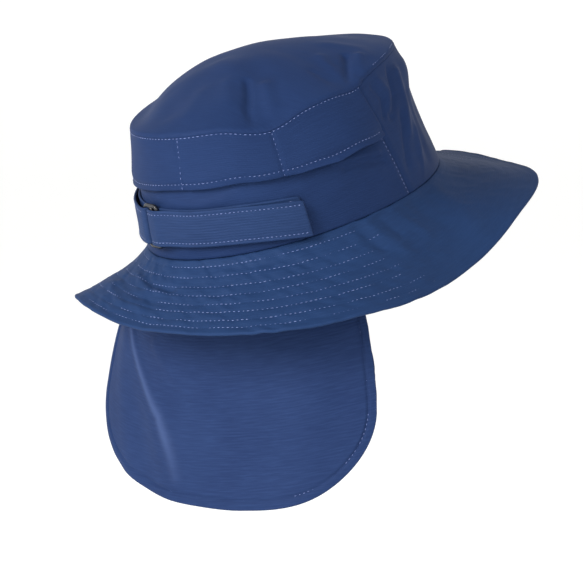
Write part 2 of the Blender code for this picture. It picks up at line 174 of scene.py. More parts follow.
# Rows of stitches as first place, last place and count of points: degrees round, shares of the wall's
# or the vent flap's height, and stops of the strap's and the tab's routes
BRIM_ROW_SPAN = (0, 360, 721)
SIDE_SEAM_ROW_SPAN = (0.03, 0.985, 120)
TIP_ROW_SPAN = (100, 262, 240)
VENT_DOWN_ROW_SPAN = (0.09, 0.97, 60)
STRAP_OUTER_ROW_SPAN = (12.2, 20.85, 240)
STRAP_INNER_ROW_SPAN = (0.3, 5.0, 120)
TAB_ROW_SPAN = (8.8, 12.9, 90)

# The row across the strap's end: its stop on the strap's route and its count of points
STRAP_END_ROW_AT = 20.86
STRAP_END_ROW_POINTS = 30

# The vent flap's long rows: their count of points, and how far they end from the seams, in degrees
VENT_LONG_ROW_POINTS = 520
VENT_ROW_SHORT_OF_SEAM = 1.5

# How far rows are sunk in the cloth, in millimetres. The vent flap's hem row shows clear within a spread
# of degrees round a middle bearing, and the neck flap's from a place across it to its right side.
UNDER_BRIM_SUNK = 0.05
TIP_ROW_SUNK = 0.12
VENT_ROW_SUNK = 0.12
VENT_CLEAR_MIDDLE = 42
VENT_CLEAR_SPREAD = 22
VENT_CLEAR_FADE = 12
FLAP_ROW_SUNK = 0.22
FLAP_CLEAR_FROM = 0.25

# About how far the top's rim is from its middle
TOP_REACH = 0.085

# Steps over which slopes are taken: in degrees of bearing, fine and wide, and in shares
FINE_TURN = 0.15
WIDE_TURN = 0.2
SHARE_STEP = 0.004
VENT_STEP = 0.01

# Tables as in the solids: bearing; height and reach of the tip seam; bulge of the wall
WALL_COLUMNS = ("bearing", "height", "reach", "bulge")
WALL_ROWS = (
    (-180, 1.03, 0.000, 0.000),
    (-135, 1.05, 0.000, 0.000),
    (-90, 1.00, -0.045, 0.000),
    (-45, 1.00, -0.060, 0.000),
    (-20, 1.01, -0.030, 0.000),
    (8, 1.00, 0.002, 0.000),
    (25, 0.985, 0.008, 0.000),
    (44, 0.90, 0.012, 0.000),
    (60, 0.975, 0.003, 0.003),
    (72, 0.985, -0.010, 0.008),
    (82, 0.965, -0.020, 0.011),
    (95, 1.015, -0.022, 0.011),
    (112, 1.045, -0.015, 0.006),
    (135, 1.045, 0.000, 0.000),
    (158, 1.04, 0.000, 0.000),
)

BRIM_COLUMNS = ("bearing", "width", "droop", "flare")
BRIM_ROWS = (
    (-180, 0.98, 23.5, 1.00),
    (-135, 0.99, 27.0, 1.00),
    (-90, 0.965, 39.5, 1.00),
    (-60, 0.85, 36.0, 1.10),
    (-35, 0.82, 17.0, 1.13),
    (0, 0.845, 29.0, 1.00),
    (45, 1.03, 35.0, 1.05),
    (90, 0.895, 50.0, 1.00),
    (112, 0.88, 37.0, 1.00),
    (135, 1.00, 28.0, 1.00),
    (158, 0.99, 28.0, 1.00),
)

WALL_FOLD_COLUMNS = ("bearing", "height", "slant", "spread", "tall", "deep")
WALL_FOLD_ROWS = (
    (127, 0.82, 4, 9.0, 0.15, 0.036),
    (129, 0.44, 4, 9.0, 0.22, -0.040),
    (66, 0.42, -60, 8.0, 0.07, 0.014),
    (-52, 0.20, 0, 16.0, 0.17, -0.032),
    (-112, 0.60, -8, 8.0, 0.40, 0.020),
    (-140, 0.50, 0, 9.0, 0.45, -0.018),
)

TOP_FOLD_COLUMNS = ("right", "forward", "turn", "long", "wide", "deep")
TOP_FOLD_ROWS = (
    (0.20, -0.30, 20, 0.40, 0.160, 0.055),
    (-0.10, -0.70, 80, 0.30, 0.160, -0.050),
    (-0.45, 0.10, -30, 0.45, 0.200, 0.050),
    (-0.74, -0.58, -50, 0.60, 0.170, -0.200),
    (-0.40, -0.32, -50, 0.60, 0.240, 0.090),
    (0.20, 0.55, 10, 0.50, 0.180, -0.045),
)

VENT_COLUMNS = ("bearing", "hang", "stand_off")
VENT_ROWS = (
    (-88, 1.03, 0.02),
    (-66, 1.05, 0.10),
    (-48, 1.04, 0.11),
    (-30, 1.03, 0.06),
    (0, 0.985, 0.03),
    (22, 0.98, 0.05),
    (34, 0.91, 0.05),
    (44, 0.86, 0.07),
    (52, 0.95, 0.12),
    (62, 1.06, 0.16),
    (80, 1.00, 0.15),
    (88, 1.03, 0.05),
)

STRAP_COLUMNS = ("bearing", "lower", "upper")
STRAP_ROWS = (
    (-60, 0.31, 0.31),
    (-42, 0.31, 0.31),
    (-20, 0.29, 0.29),
    (0, 0.275, 0.27),
    (25, 0.25, 0.24),
    (48, 0.20, 0.17),
)

ROUTE_COLUMNS = ("measure", "along", "lift")
STRAP_ROUTE = (
    ("bearing", STRAP_END_BEARING - 0.5, 0.02),
    ("bearing", 36.0, 0.02),
    ("bearing", 24.0, 0.02),
    ("bearing", 12.0, 0.02),
    ("bearing", 0.0, 0.02),
    ("bearing", -8.0, 0.02),
    ("ring", 0.70, 0.02),
    ("ring", 0.26, 0.02),
    ("ring", -0.025, 0.04),
    ("ring", -0.14, 0.20),
    ("ring", -0.18, 0.51),
    ("ring", -0.14, 0.84),
    ("ring", -0.025, 1.02),
    ("ring", 0.26, 1.11),
    ("ring", 0.51, 1.07),
    ("ring", 0.90, 0.69),
    ("bearing", -4.0, 0.47),
    ("bearing", 6.0, 0.47),
    ("bearing", 17.0, 0.47),
    ("bearing", 28.0, 0.51),
    ("bearing", 38.0, 0.62),
    ("bearing", STRAP_END_BEARING, 0.77),
)
TAB_ROUTE = (
    ("bearing", TAB_END_BEARING, 0.02),
    ("bearing", -46.0, 0.02),
    ("bearing", -37.0, 0.02),
    ("ring", -0.80, 0.02),
    ("ring", -0.46, 0.04),
    ("ring", -0.36, 0.20),
    ("ring", -0.325, 0.51),
    ("ring", -0.365, 0.91),
    ("ring", -0.475, 1.11),
    ("ring", -0.77, 1.13),
    ("bearing", -34.0, 0.86),
    ("bearing", -42.0, 0.66),
    ("bearing", -49.0, 0.52),
    ("bearing", TAB_END_BEARING, 0.46),
)

FLAP_COLUMNS = ("across", "hang")
FLAP_ROWS = (
    (-1.0, 0.98),
    (-0.6, 0.965),
    (-0.2, 0.975),
    (0.3, 1.01),
    (0.7, 1.047),
    (1.0, 1.03),
)

FLAP_FOLD_COLUMNS = ("across", "slant", "wide", "deep")
FLAP_FOLD_ROWS = (
    (-0.98, 0.42, 0.120, 0.005),
    (-0.74, 0.36, 0.140, -0.005),
    (-0.30, 0.10, 0.160, 0.006),
    (0.22, -0.05, 0.200, -0.006),
    (0.72, -0.10, 0.160, 0.006),
)

# Creases as paths: points on the cloth, then width and depth in millimetres. Below 0 is a valley.
# On the top the points are right and forward, as shares of its half sizes.
TOP_CREASES = (
    (((0.34, -0.50), (0.44, -0.62), (0.50, -0.72), (0.60, -0.80)), 2.3, -2.6),
    (((0.50, -0.50), (0.60, -0.60), (0.68, -0.66)), 5.0, 2.3),
    (((0.20, -0.55), (0.36, -0.72)), 5.0, 0.9),
    (((0.74, 0.10), (0.86, -0.05), (0.93, -0.14)), 2.1, -2.5),
    (((0.82, 0.16), (0.93, 0.03)), 3.3, 1.8),
    (((0.62, -0.02), (0.80, -0.12), (0.92, -0.16)), 3.6, 1.0),
    (((0.70, -0.22), (0.86, -0.24)), 2.6, -0.8),
    (((0.52, 0.20), (0.72, 0.26), (0.86, 0.22)), 6.0, 0.9),
    (((-0.30, -0.60), (-0.10, -0.84)), 7.0, -0.6),
    (((0.05, -0.66), (0.10, -0.88)), 6.0, 0.6),
    (((-0.05, -0.30), (0.20, -0.44), (0.36, -0.50)), 7.0, 0.8),
)
# On the wall the points are bearing and share of the wall's height.
WALL_CREASES = (
    (((93, 0.90), (96, 0.78), (93, 0.66)), 2.2, -1.2),
    (((98, 0.92), (101, 0.80), (98, 0.66)), 3.2, 1.3),
    (((108, 0.92), (104, 0.72), (97, 0.62)), 3.0, -1.7),
    (((114, 0.86), (110, 0.62), (104, 0.44)), 4.6, 2.0),
    (((104, 0.56), (99, 0.38), (96, 0.20)), 3.2, -1.5),
    (((110, 0.40), (106, 0.20), (102, 0.06)), 4.0, 1.6),
    (((104, 0.16), (100, 0.02)), 2.4, -1.4),
    (((119, 0.66), (116, 0.38), (112, 0.14)), 5.0, -1.5),
    (((64, 0.51), (72, 0.48), (83, 0.45)), 2.6, 1.3),
    (((67, 0.43), (75, 0.42), (84, 0.37)), 2.6, -1.2),
    (((-8, 0.54), (6, 0.50), (22, 0.52)), 3.0, -0.6),
    (((-4, 0.48), (8, 0.44), (20, 0.46)), 3.0, 0.5),
    (((30, 0.52), (40, 0.47), (52, 0.50)), 3.2, -0.6),
    (((60, 0.30), (70, 0.34), (80, 0.28)), 5.0, 0.5),
)
# On the brim the points are bearing and share of its width.
BRIM_CREASES = (
    (((63, 0.02), (66, 0.22), (68, 0.34)), 3.0, -0.9),
    (((68, 0.03), (71, 0.26), (74, 0.42)), 3.6, 1.0),
    (((74, 0.03), (77, 0.28)), 3.2, -0.9),
    (((80, 0.05), (84, 0.30), (85, 0.45)), 4.0, 0.9),
    (((90, 0.10), (93, 0.45)), 5.0, -0.8),
    (((104, 0.15), (103, 0.50), (98, 0.80)), 8.0, 1.0),
    (((-26, 0.20), (-16, 0.34), (-4, 0.38)), 3.0, -0.9),
    (((-24, 0.30), (-12, 0.44), (2, 0.47)), 2.6, 0.9),
    (((-30, 0.42), (-16, 0.56), (-6, 0.60)), 2.8, -0.8),
    (((-32, 0.56), (-18, 0.72), (-8, 0.74)), 3.0, 0.7),
    (((12, 0.10), (22, 0.14), (34, 0.12)), 2.6, -0.6),
)
# On the neck flap the points are across and down. Along its longest crease a paler tone is painted as a
# highlight.
FLAP_HIGHLIGHT_PATH = ((-0.72, 0.34), (-0.62, 0.42), (-0.47, 0.52), (-0.28, 0.66), (-0.19, 0.80), (-0.15, 0.90))
FLAP_CREASES = (
    (FLAP_HIGHLIGHT_PATH, 4.6, 1.2),
    (((-0.82, 0.32), (-0.71, 0.42), (-0.55, 0.52), (-0.37, 0.66), (-0.28, 0.80)), 12.0, 1.6),
    (((-0.36, 0.37), (-0.20, 0.46), (-0.02, 0.56)), 5.0, 1.2),
    (((0.86, 0.50), (0.80, 0.62), (0.82, 0.74)), 9.0, -1.0),
)

# Grids of the cloth: counts of steps, and grid lines in millimetres, closer together near an edge. They
# are measured in from the top's rim, up from the wall's foot and down from the vent flap's root. Body
# lines are given as first, last and count.
TOP_STEPS = 264
TOP_RINGS = 50
TOP_EDGE_LINES = (0.0, 0.4, 0.8, 1.2, 1.6, 2.2, 3.0)
WALL_GRID_TALL = 77.0
WALL_FOOT_LINES = (-1.8, -1.0, -0.4, 0, 0.5, 1.0, 1.7)
WALL_BODY_LINES = (2.6, 74.6, 60)
WALL_TIP_LINES = (75.4, 76.0, 76.6, 77.0)
WALL_SHORT_OF_SEAM = 0.12
BACK_STEPS = 240
FRONT_STEPS = 250
VENT_GRID_TALL = 31.0
VENT_ROOT_LINES = (0, 0.4, 0.8, 1.3)
VENT_BODY_LINES = (2.0, 30.4, 38)
VENT_STEPS = 300
VENT_SHORT_OF_SEAM = 0.15
VENT_HEM_FROM = 0.89
VENT_HEM_STEP = 0.02
BRIM_TURN_STEPS = 620
BRIM_RINGS = 66
BRIM_GRID_END = 0.985
FLAP_ACROSS_STEPS = 190
FLAP_DOWN_STEPS = 140
FLAP_CLOSER_AT_SIDES = 0.55
BAND_STEPS = 12
BAND_SIDES = (-0.5, -0.47, -0.43, -0.38, -0.3, -0.15, 0.0, 0.15, 0.3, 0.38, 0.43, 0.47, 0.5)
BAND_MIDDLE = BAND_SIDES.index(0.0)

# The brim is wider round than the crown, so its cloth has more metres for each degree
BRIM_DEGREE = DEGREE * 1.3

# The painted highlight down the neck flap's fold, a paler line: its width, how much wider it gets and from
# where, in shares of the flap's length, where it fades out, and its strength
HIGHLIGHT_WIDE = 0.0016
HIGHLIGHT_WIDENS = 0.0022
HIGHLIGHT_WIDENS_FROM = 0.34
HIGHLIGHT_WIDENS_OVER = 0.4
HIGHLIGHT_END = 0.98
HIGHLIGHT_END_FADE = 0.25
HIGHLIGHT_MOST = 0.85

# Strap loop: how far its rails are set in from its ends, the radius of its corners, the power that
# rounds its bars in section (1 is round, less is squarer), how far it lies off its middle as a share of
# its length, and the width of its bars as a share of the solid's
RING_SET_IN = 0.0012
RING_CORNER = 0.0022
BAR_SQUARE = 0.7
RING_OFF_MIDDLE = 0.05
RAIL_FLATTER = 0.85

# Sizes in the finishes. Uneven dye lies in patches, and yarns thicken in slubs, long and narrow.
DYE_PATCH = 38.46 * MM
SLUB_LONG = 14.29 * MM
SLUB_WIDE = 0.909 * MM
THREAD_FUZZ = 3.33 * MM
FLOW_MARK = 2.38 * MM

# The nylon's yarns are about 0.4 mm apart, which is too fine to show, so its rib is drawn coarser
SHELL_RIB = 1.3 * MM
STRAP_RIB = 1.6 * MM
FLAP_RIB = 2.0 * MM

# Studio: the floor's rings as radius and rise in metres, the steps round it and its own faint light
FLOOR_LEVEL = -0.40
FLOOR_RINGS = ((2.5, 0.0), (3.5, 0.01), (4.5, 0.06), (5.5, 0.17), (6.5, 0.38), (7.3, 0.75), (7.8, 1.3))
FLOOR_STEPS = 72
FLOOR_GLOW = 0.17

# Sky: its strength at the horizon and high up, and from where it is high, as the up part of a unit vector
SKY_LOW = 1.70
SKY_HIGH = 0.66
SKY_HIGH_FROM = 0.7

# Disk lights, aimed at the middle of the head opening: place and width in metres, power in watts
LIGHT_COLUMNS = ("light", "place", "wide", "power", "colour")
LIGHT_ROWS = (
    ("key", (-0.45, -2.3, 0.95), 1.3, 82.0, (1.0, 0.98, 0.96)),
    ("fill", (2.3, -1.3, 0.8), 1.4, 17.0, (1.0, 1.0, 1.0)),
)

# The photograph's camera: degrees round and up, metres away, the picture's side in pixels, its pixels
# for each millimetre of the hat, and the sensor's width in millimetres
CAMERA_TURN = 37.375
CAMERA_RISE = 3.0
CAMERA_AWAY = 1.5
PHOTO_SIDE = 584
PIXELS_PER_MM = 1.565
SENSOR_WIDE = 36.0

# Where the camera aims, in pixels of the photograph from the middle of the head opening
AIM_RIGHT = -2.5
AIM_UP = -91.0

# Cross sections of seams and hems, in millimetres: distance, width and depth. Below 0 is a groove.
SIDE_SEAM_SECTION = ((0.0, 1.2, -0.4), (4.0, 2.0, 0.3))
VENT_ROW_SECTION = ((0.0, 1.4, -0.6),)
VENT_HEM_SECTION = ((0.0, 1.1, -0.3),)
BRIM_ROW_SECTION = ((0.0, 1.1, -0.36),)
BRIM_EDGE_SECTION = ((1.6, 1.4, 0.4),)
FLAP_HEM_SECTION = ((0.0, 0.8, -0.9),)
BAND_ROW_SECTION = ((0.0, 1.0, -0.25),)

# Chance unevenness of the cloth: depth and the two sides of its waves in millimetres, then the seed
UNEVEN_COLUMNS = ("cloth", "deep", "u_wave", "v_wave", "seed")
UNEVEN_ROWS = (
    ("wall", 0.35, 21.0, 17.0, 5),
    ("vent flap", 0.5, 24.0, 16.0, 8),
    ("top", 0.5, 27.0, 22.0, 11),
    ("brim", 0.45, 34.0, 19.0, 6),
    ("brim puckers", 0.50, 4.2, 8.5, 3),
    ("brim cross puckers", 0.30, 6.5, 5.0, 4),
    ("neck flap", 0.4, 30.0, 24.0, 21),
    ("neck flap hem", 0.2, 12.0, 6.0, 23),
)

# Shares of the brim's width at which it is sewn through
BRIM_SEWN_AT = (0.07, 0.20, 0.33, 0.45, 0.57, 0.68, 0.80, 0.90)

# How far the tops of the brim's stitches are pulled into the cloth, in millimetres
BRIM_SUNK_COLUMNS = ("bearing", "sunk")
BRIM_SUNK_ROWS = (
    (-180, 0.12),
    (-120, 0.08),
    (-60, 0.05),
    (-34, 0.12),
    (-14, 0.06),
    (4, 0.0),
    (40, 0.0),
    (60, 0.08),
    (78, 0.24),
    (108, 0.28),
    (130, 0.26),
    (150, 0.18),
)


def column(columns, rows, name):
    place = columns.index(name)
    return np.array([row[place] for row in rows], float)


def smooth(known_at, known, at, period=None):
    """A smooth curve through the known values: each stretch is a cubic between two of them."""
    known_at, known, at = (np.asarray(v, float) for v in (known_at, known, at))
    if period:
        at = (at - known_at[0]) % period + known_at[0]
        known_at = np.concatenate([[known_at[-1] - period], known_at, known_at[:2] + period])
        known = np.concatenate([known[-1:], known, known[:2]])
    slopes = np.gradient(known, known_at)
    at = np.clip(at, known_at[0], known_at[-1])
    left = np.clip(np.searchsorted(known_at, at, side="right") - 1, 0, len(known_at) - 2)
    step = known_at[left + 1] - known_at[left]
    t = (at - known_at[left]) / step
    start = (1 + 2 * t) * (1 - t) ** 2 * known[left] + t * (1 - t) ** 2 * step * slopes[left]
    finish = t**2 * (3 - 2 * t) * known[left + 1] + t**2 * (t - 1) * step * slopes[left + 1]
    return start + finish


def read_off(columns, rows, name, at, period=None):
    return smooth(column(columns, rows, columns[0]), column(columns, rows, name), at, period)


def round_value(columns, rows, name, bearing):
    return read_off(columns, rows, name, bearing, 360.0)


def table(columns, rows):
    return [dict(zip(columns, row)) for row in rows]


def unit(vectors):
    return vectors / np.maximum(np.linalg.norm(vectors, axis=-1, keepdims=True), 1e-12)


def bump(distance, wide):
    """1 at distance 0, falling off over wide on both sides."""
    return np.exp(-((distance / wide) ** 2))


def section(rows, distance):
    """Relief in metres of a seam or hem, at a distance from it in metres."""
    return sum(deep * MM * bump(distance - away * MM, wide * MM) for away, wide, deep in rows)


def crease(u, v, path, wide):
    """1 along a path of straight stretches, falling off over wide on both sides and past its ends."""
    nearest = np.full(np.broadcast(u, v).shape, 1e9)
    for (u0, v0), (u1, v1) in zip(path[:-1], path[1:]):
        du, dv = u1 - u0, v1 - v0
        t = np.clip(((u - u0) * du + (v - v0) * dv) / (du * du + dv * dv), 0, 1)
        nearest = np.minimum(nearest, np.hypot(u - u0 - t * du, v - v0 - t * dv))
    return bump(nearest, wide)


def creases(rows, u, v, u_size, v_size):
    """Relief in metres of a table of creases, at u and v in metres."""
    relief = np.zeros(np.broadcast(u, v).shape)
    for path, wide, deep in rows:
        in_metres = [(a * u_size, b * v_size) for a, b in path]
        relief += deep * MM * crease(u, v, in_metres, wide * MM)
    return relief


def ripple(u, v, u_cell, v_cell, seed):
    """Smooth chance waves from -1 to 1 whose cells are u_cell by v_cell."""
    cells = 211
    lattice = np.random.default_rng(seed).uniform(-1, 1, (cells, cells))
    a, b = np.broadcast_arrays(u / u_cell, v / v_cell)
    i, j = np.floor(a).astype(int), np.floor(b).astype(int)
    s, t = a - i, b - j
    s, t = s * s * (3 - 2 * s), t * t * (3 - 2 * t)

    def at(k, m):
        return lattice[(i + k) % cells, (j + m) % cells]

    low = at(0, 0) * (1 - s) + at(1, 0) * s
    high = at(0, 1) * (1 - s) + at(1, 1) * s
    return low * (1 - t) + high * t


def uneven(cloth, u, v):
    """Relief in metres of a cloth's chance unevenness."""
    row = next(row for row in table(UNEVEN_COLUMNS, UNEVEN_ROWS) if row["cloth"] == cloth)
    return row["deep"] * MM * ripple(u, v, row["u_wave"] * MM, row["v_wave"] * MM, row["seed"])


def worn_tilt():
    back = Matrix.Rotation(math.radians(TIPPED_BACK), 3, "X")
    left = Matrix.Rotation(math.radians(-ROLLED_LEFT), 3, "Y")
    return np.array(back @ left)


WORN = worn_tilt()


def tipped(points):
    """Points of the level hat, moved to where the tipped hat has them."""
    return points @ WORN.T


def plan_point(bearing, half_long, half_wide):
    turn = np.radians(bearing)
    return np.stack([half_wide * np.sin(turn), -half_long * np.cos(turn)], -1)


def plan_outward(bearing, half_long=OPENING_LONG / 2, half_wide=OPENING_WIDE / 2):
    turn = np.radians(bearing)
    return unit(np.stack([half_long * np.sin(turn), -half_wide * np.cos(turn)], -1))


def angle_apart(bearing, other):
    return (bearing - other + 180.0) % 360.0 - 180.0


def top_ring(bearing, reach=0.0):
    wider = round_value(WALL_COLUMNS, WALL_ROWS, "reach", bearing) * TOP_WIDE / 2 + reach
    ring = plan_point(bearing, TOP_LONG / 2, TOP_WIDE / 2)
    ring = ring + plan_outward(bearing, TOP_LONG / 2, TOP_WIDE / 2) * wider[..., None]
    ring[..., 1] -= TOP_BACK_SHIFT
    return ring


def wall_height(bearing):
    return WALL_TALL * round_value(WALL_COLUMNS, WALL_ROWS, "height", bearing)


def wall_relief(bearing, share):
    """Folds, creases and unevenness of the side wall, and its hollow behind the vent flap's edge."""
    relief = np.zeros(np.broadcast(bearing, share).shape)
    for fold in table(WALL_FOLD_COLUMNS, WALL_FOLD_ROWS):
        above = share - fold["height"]
        across = angle_apart(bearing, fold["bearing"] + fold["slant"] * above)
        relief += WALL_TALL * fold["deep"] * bump(across, fold["spread"]) * bump(above, fold["tall"])
    around, up = angle_apart(bearing, 0.0) * DEGREE, share * WALL_TALL
    relief += creases(WALL_CREASES, around, up, DEGREE, WALL_TALL)
    relief += uneven("wall", around, up)
    relief -= UNDER_VENT_DEEP * vent_cover(bearing) * bump(share - UNDER_VENT_AT, UNDER_VENT_REACH)
    return relief * np.clip(share / WALL_FOOT_FADE, 0, 1) * np.clip((1 - share) / WALL_TIP_FADE, 0, 1)


def wall_point(bearing, share, stand_off=0.0):
    bearing, share, stand_off = np.broadcast_arrays(bearing, share, stand_off)
    base = plan_point(bearing, OPENING_LONG / 2, OPENING_WIDE / 2)
    plan = base * (1 - share[..., None]) + top_ring(bearing) * share[..., None]
    bulge = round_value(WALL_COLUMNS, WALL_ROWS, "bulge", bearing) * TOP_WIDE / 2
    out = bulge * np.sin(np.pi * share) + wall_relief(bearing, share) + stand_off
    plan = plan + plan_outward(bearing) * out[..., None]
    return np.concatenate([plan, (wall_height(bearing) * share)[..., None]], -1)


def rolled_in(inside, radius):
    """How far a cloth's edge turns under, at a distance inside the edge."""
    left = np.clip(1 - inside / radius, 0, 1)
    return radius * (1 - np.sqrt(np.maximum(1 - left**2, 0)))


def side_seam(share):
    """Bearing of the right side seam at a share of the wall's height; the left one mirrors it."""
    return SIDE_SEAM_FOOT - SIDE_SEAM_LEAN * share


def wall_cloth(bearing, share):
    """Outside of the side wall."""
    bearing, share = np.broadcast_arrays(np.asarray(bearing, float), np.asarray(share, float))
    turned = rolled_in((1 - share) * WALL_TALL, FINE_ROLL) + rolled_in(share * WALL_TALL, FULL_ROLL)
    seam = np.abs(np.abs(angle_apart(bearing, 0.0)) - side_seam(share)) * DEGREE
    return tipped(wall_point(bearing, share, section(SIDE_SEAM_SECTION, seam) - turned))


def vent_cover(bearing):
    """1 where the vent flap covers the wall, 0 past its ends."""
    return np.clip((VENT_END - np.abs(angle_apart(bearing, 0.0))) / VENT_END_FADE, 0, 1)


# How far the vent flap hangs down from the tip seam, at a bearing
def vent_drop(bearing):
    return VENT_DROP * read_off(VENT_COLUMNS, VENT_ROWS, "hang", bearing)


def vent_cloth(bearing, down):
    """Outside of the vent flap: down is 0 at the tip seam and 1 at its free edge."""
    bearing, down = np.broadcast_arrays(np.asarray(bearing, float), np.asarray(down, float))
    edge = VENT_DROP * read_off(VENT_COLUMNS, VENT_ROWS, "stand_off", bearing)
    edge = edge + VENT_EDGE_LIFT * vent_cover(bearing)
    drop = down * vent_drop(bearing)
    relief = edge * np.clip(down, 0, 1) ** VENT_LIFT_POWER - rolled_in(drop, FINE_ROLL)
    for at in VENT_SEWN_AT:
        relief += section(VENT_ROW_SECTION, (bearing - at) * DEGREE)
    relief += section(VENT_HEM_SECTION, vent_drop(bearing) - drop - HEM_IN)
    relief += uneven("vent flap", bearing * DEGREE, drop) * np.clip(drop / VENT_RIPPLE_FADE, 0, 1)
    share = 1 - drop / wall_height(bearing)
    return tipped(wall_point(bearing, share, GAP + VENT_THICK + relief))


def top_point(bearing, ring):
    """Outside of the top of the level hat, from ring 1 at the seam to ring 0 in the middle."""
    bearing, ring = np.broadcast_arrays(np.asarray(bearing, float), np.asarray(ring, float))
    rim = top_ring(bearing, (GAP + VENT_THICK) * vent_cover(bearing))
    middle = np.array([0.0, -TOP_BACK_SHIFT])
    plan = middle + (rim - middle) * ring[..., None]
    centre = WALL_TALL * np.mean(column(WALL_COLUMNS, WALL_ROWS, "height"))
    height = wall_height(bearing) * ring**2 + centre * (1 - ring**2)
    height = height + DOME_RISE * (1 - ring**DOME_POWER) + GAP + CROWN_THICK
    right, forward = plan[..., 0] / (TOP_WIDE / 2), plan[..., 1] / (TOP_LONG / 2)
    relief = np.zeros(ring.shape)
    for fold in table(TOP_FOLD_COLUMNS, TOP_FOLD_ROWS):
        c, s = math.cos(math.radians(fold["turn"])), math.sin(math.radians(fold["turn"]))
        along = (right - fold["right"]) * c + (forward - fold["forward"]) * s
        over = -(right - fold["right"]) * s + (forward - fold["forward"]) * c
        relief += DOME_RISE * fold["deep"] * bump(along, fold["long"]) * bump(over, fold["wide"])
    relief += creases(TOP_CREASES, plan[..., 0], plan[..., 1], TOP_WIDE / 2, TOP_LONG / 2)
    relief += uneven("top", plan[..., 0] + 1, plan[..., 1] + 1)
    height = height + relief * np.clip((1 - ring) / TOP_RIM_FADE, 0, 1)
    height = height - rolled_in((1 - ring) * TOP_WIDE / 2, FULL_ROLL)
    return np.concatenate([plan, height[..., None]], -1)


def top_cloth(bearing, ring):
    return tipped(top_point(bearing, ring))


def brim_relief(bearing, share):
    """The sewn rows, the puckers between them and the creases, in metres."""
    around, out = angle_apart(bearing, 0.0) * DEGREE, share * BRIM_WIDE
    puckered = np.exp(-((angle_apart(bearing, PUCKER_MIDDLE) / PUCKER_SPREAD) ** 4))
    puckered = PUCKER_LEAST + (1 - PUCKER_LEAST) * puckered
    relief = np.zeros(np.broadcast(bearing, share).shape)
    for at in BRIM_SEWN_AT:
        relief += puckered * section(BRIM_ROW_SECTION, (share - at) * BRIM_WIDE)
    relief += puckered * uneven("brim puckers", around - PUCKER_LEAN * out, out + PUCKER_RISE * around)
    relief += puckered * uneven("brim cross puckers", around + CROSS_PUCKER_LEAN * out, out)
    relief += uneven("brim", around, out)
    relief += creases(BRIM_CREASES, around, out, DEGREE, BRIM_WIDE)
    relief += section(BRIM_EDGE_SECTION, (1 - share) * BRIM_WIDE)
    return relief * np.clip(share / BRIM_ROOT_FADE, 0, 1)


def brim_cloth(bearing, share, lower=0.0):
    """Upper side of the brim, or its underside where lower is the brim's thickness."""
    bearing, share = np.broadcast_arrays(np.asarray(bearing, float), np.asarray(share, float))
    droop = round_value(BRIM_COLUMNS, BRIM_ROWS, "droop", bearing)[..., None]
    flare = round_value(BRIM_COLUMNS, BRIM_ROWS, "flare", bearing)[..., None]
    width = BRIM_WIDE * round_value(BRIM_COLUMNS, BRIM_ROWS, "width", bearing)
    fine = np.linspace(0, 1, BRIM_STEPS + 1)
    fall = np.radians(droop + flare * (BRIM_ROOT_BEND * np.exp(-fine / BRIM_BEND_REACH) - BRIM_EDGE_BEND))
    out = np.concatenate([0 * droop, np.cumsum(np.cos(fall[..., 1:]) / BRIM_STEPS, -1)], -1)
    down = np.concatenate([0 * droop, np.cumsum(np.sin(fall[..., 1:]) / BRIM_STEPS, -1)], -1)
    place = np.clip(share, -0.02, 1.02) * BRIM_STEPS
    left = np.clip(np.floor(place).astype(int), 0, BRIM_STEPS - 1)
    part = place - left

    def between(values):
        a = np.take_along_axis(values, left[..., None], -1)[..., 0]
        b = np.take_along_axis(values, left[..., None] + 1, -1)[..., 0]
        return a + (b - a) * part

    tilt = between(np.broadcast_to(fall, out.shape))
    proud = brim_relief(bearing, share) - lower
    reach = width * between(out) + proud * np.sin(tilt)
    height = -GAP - width * between(down) + proud * np.cos(tilt)
    base = plan_point(bearing, OPENING_LONG / 2, OPENING_WIDE / 2)
    plan = base + plan_outward(bearing) * reach[..., None]
    return tipped(np.concatenate([plan, height[..., None]], -1))


def flap_root(across):
    bearing = FLAP_SPREAD * across
    inside = BRIM_THICK + GAP + FLAP_THICK / 2
    plan = plan_point(bearing, OPENING_LONG / 2, OPENING_WIDE / 2) - plan_outward(bearing) * inside
    level = np.full(plan.shape[:-1] + (1,), -BRIM_THICK)
    return tipped(np.concatenate([plan, level], -1))


def flap_length(across):
    hang = FLAP_LONG * read_off(FLAP_COLUMNS, FLAP_ROWS, "hang", across)
    corner = (1 - np.minimum(np.abs(across), 1.0) ** FLAP_CORNER_POWER) ** (1 / FLAP_CORNER_POWER)
    return hang - FLAP_CORNER * (1 - corner)


def flap_outline(bottom_points=900, side_points=119):
    """The flap's free edge laid flat: down one side, round the bottom and up the other."""
    across = np.sin(np.linspace(-np.pi / 2, np.pi / 2, bottom_points))
    bottom = np.stack([across * FLAP_WIDE / 2, flap_length(across)], -1)
    sides = np.linspace(0, 1, side_points + 1)[:-1]
    left = np.stack([np.full(side_points, -FLAP_WIDE / 2), sides * bottom[0, 1]], -1)
    right = np.stack([np.full(side_points, FLAP_WIDE / 2), sides[::-1] * bottom[-1, 1]], -1)
    return np.concatenate([left, bottom, right])


FLAP_EDGE = flap_outline()


def from_flap_edge(flat_x, flat_y):
    """Distance on the flat cloth to the flap's free edge."""
    flat = np.stack(np.broadcast_arrays(flat_x, flat_y), -1).reshape(-1, 2)
    nearest = []
    for part in np.array_split(flat, 40):
        apart = part[:, None] - FLAP_EDGE[None]
        nearest.append(np.sqrt((apart**2).sum(-1)).min(1))
    return np.concatenate(nearest).reshape(np.broadcast(flat_x, flat_y).shape)


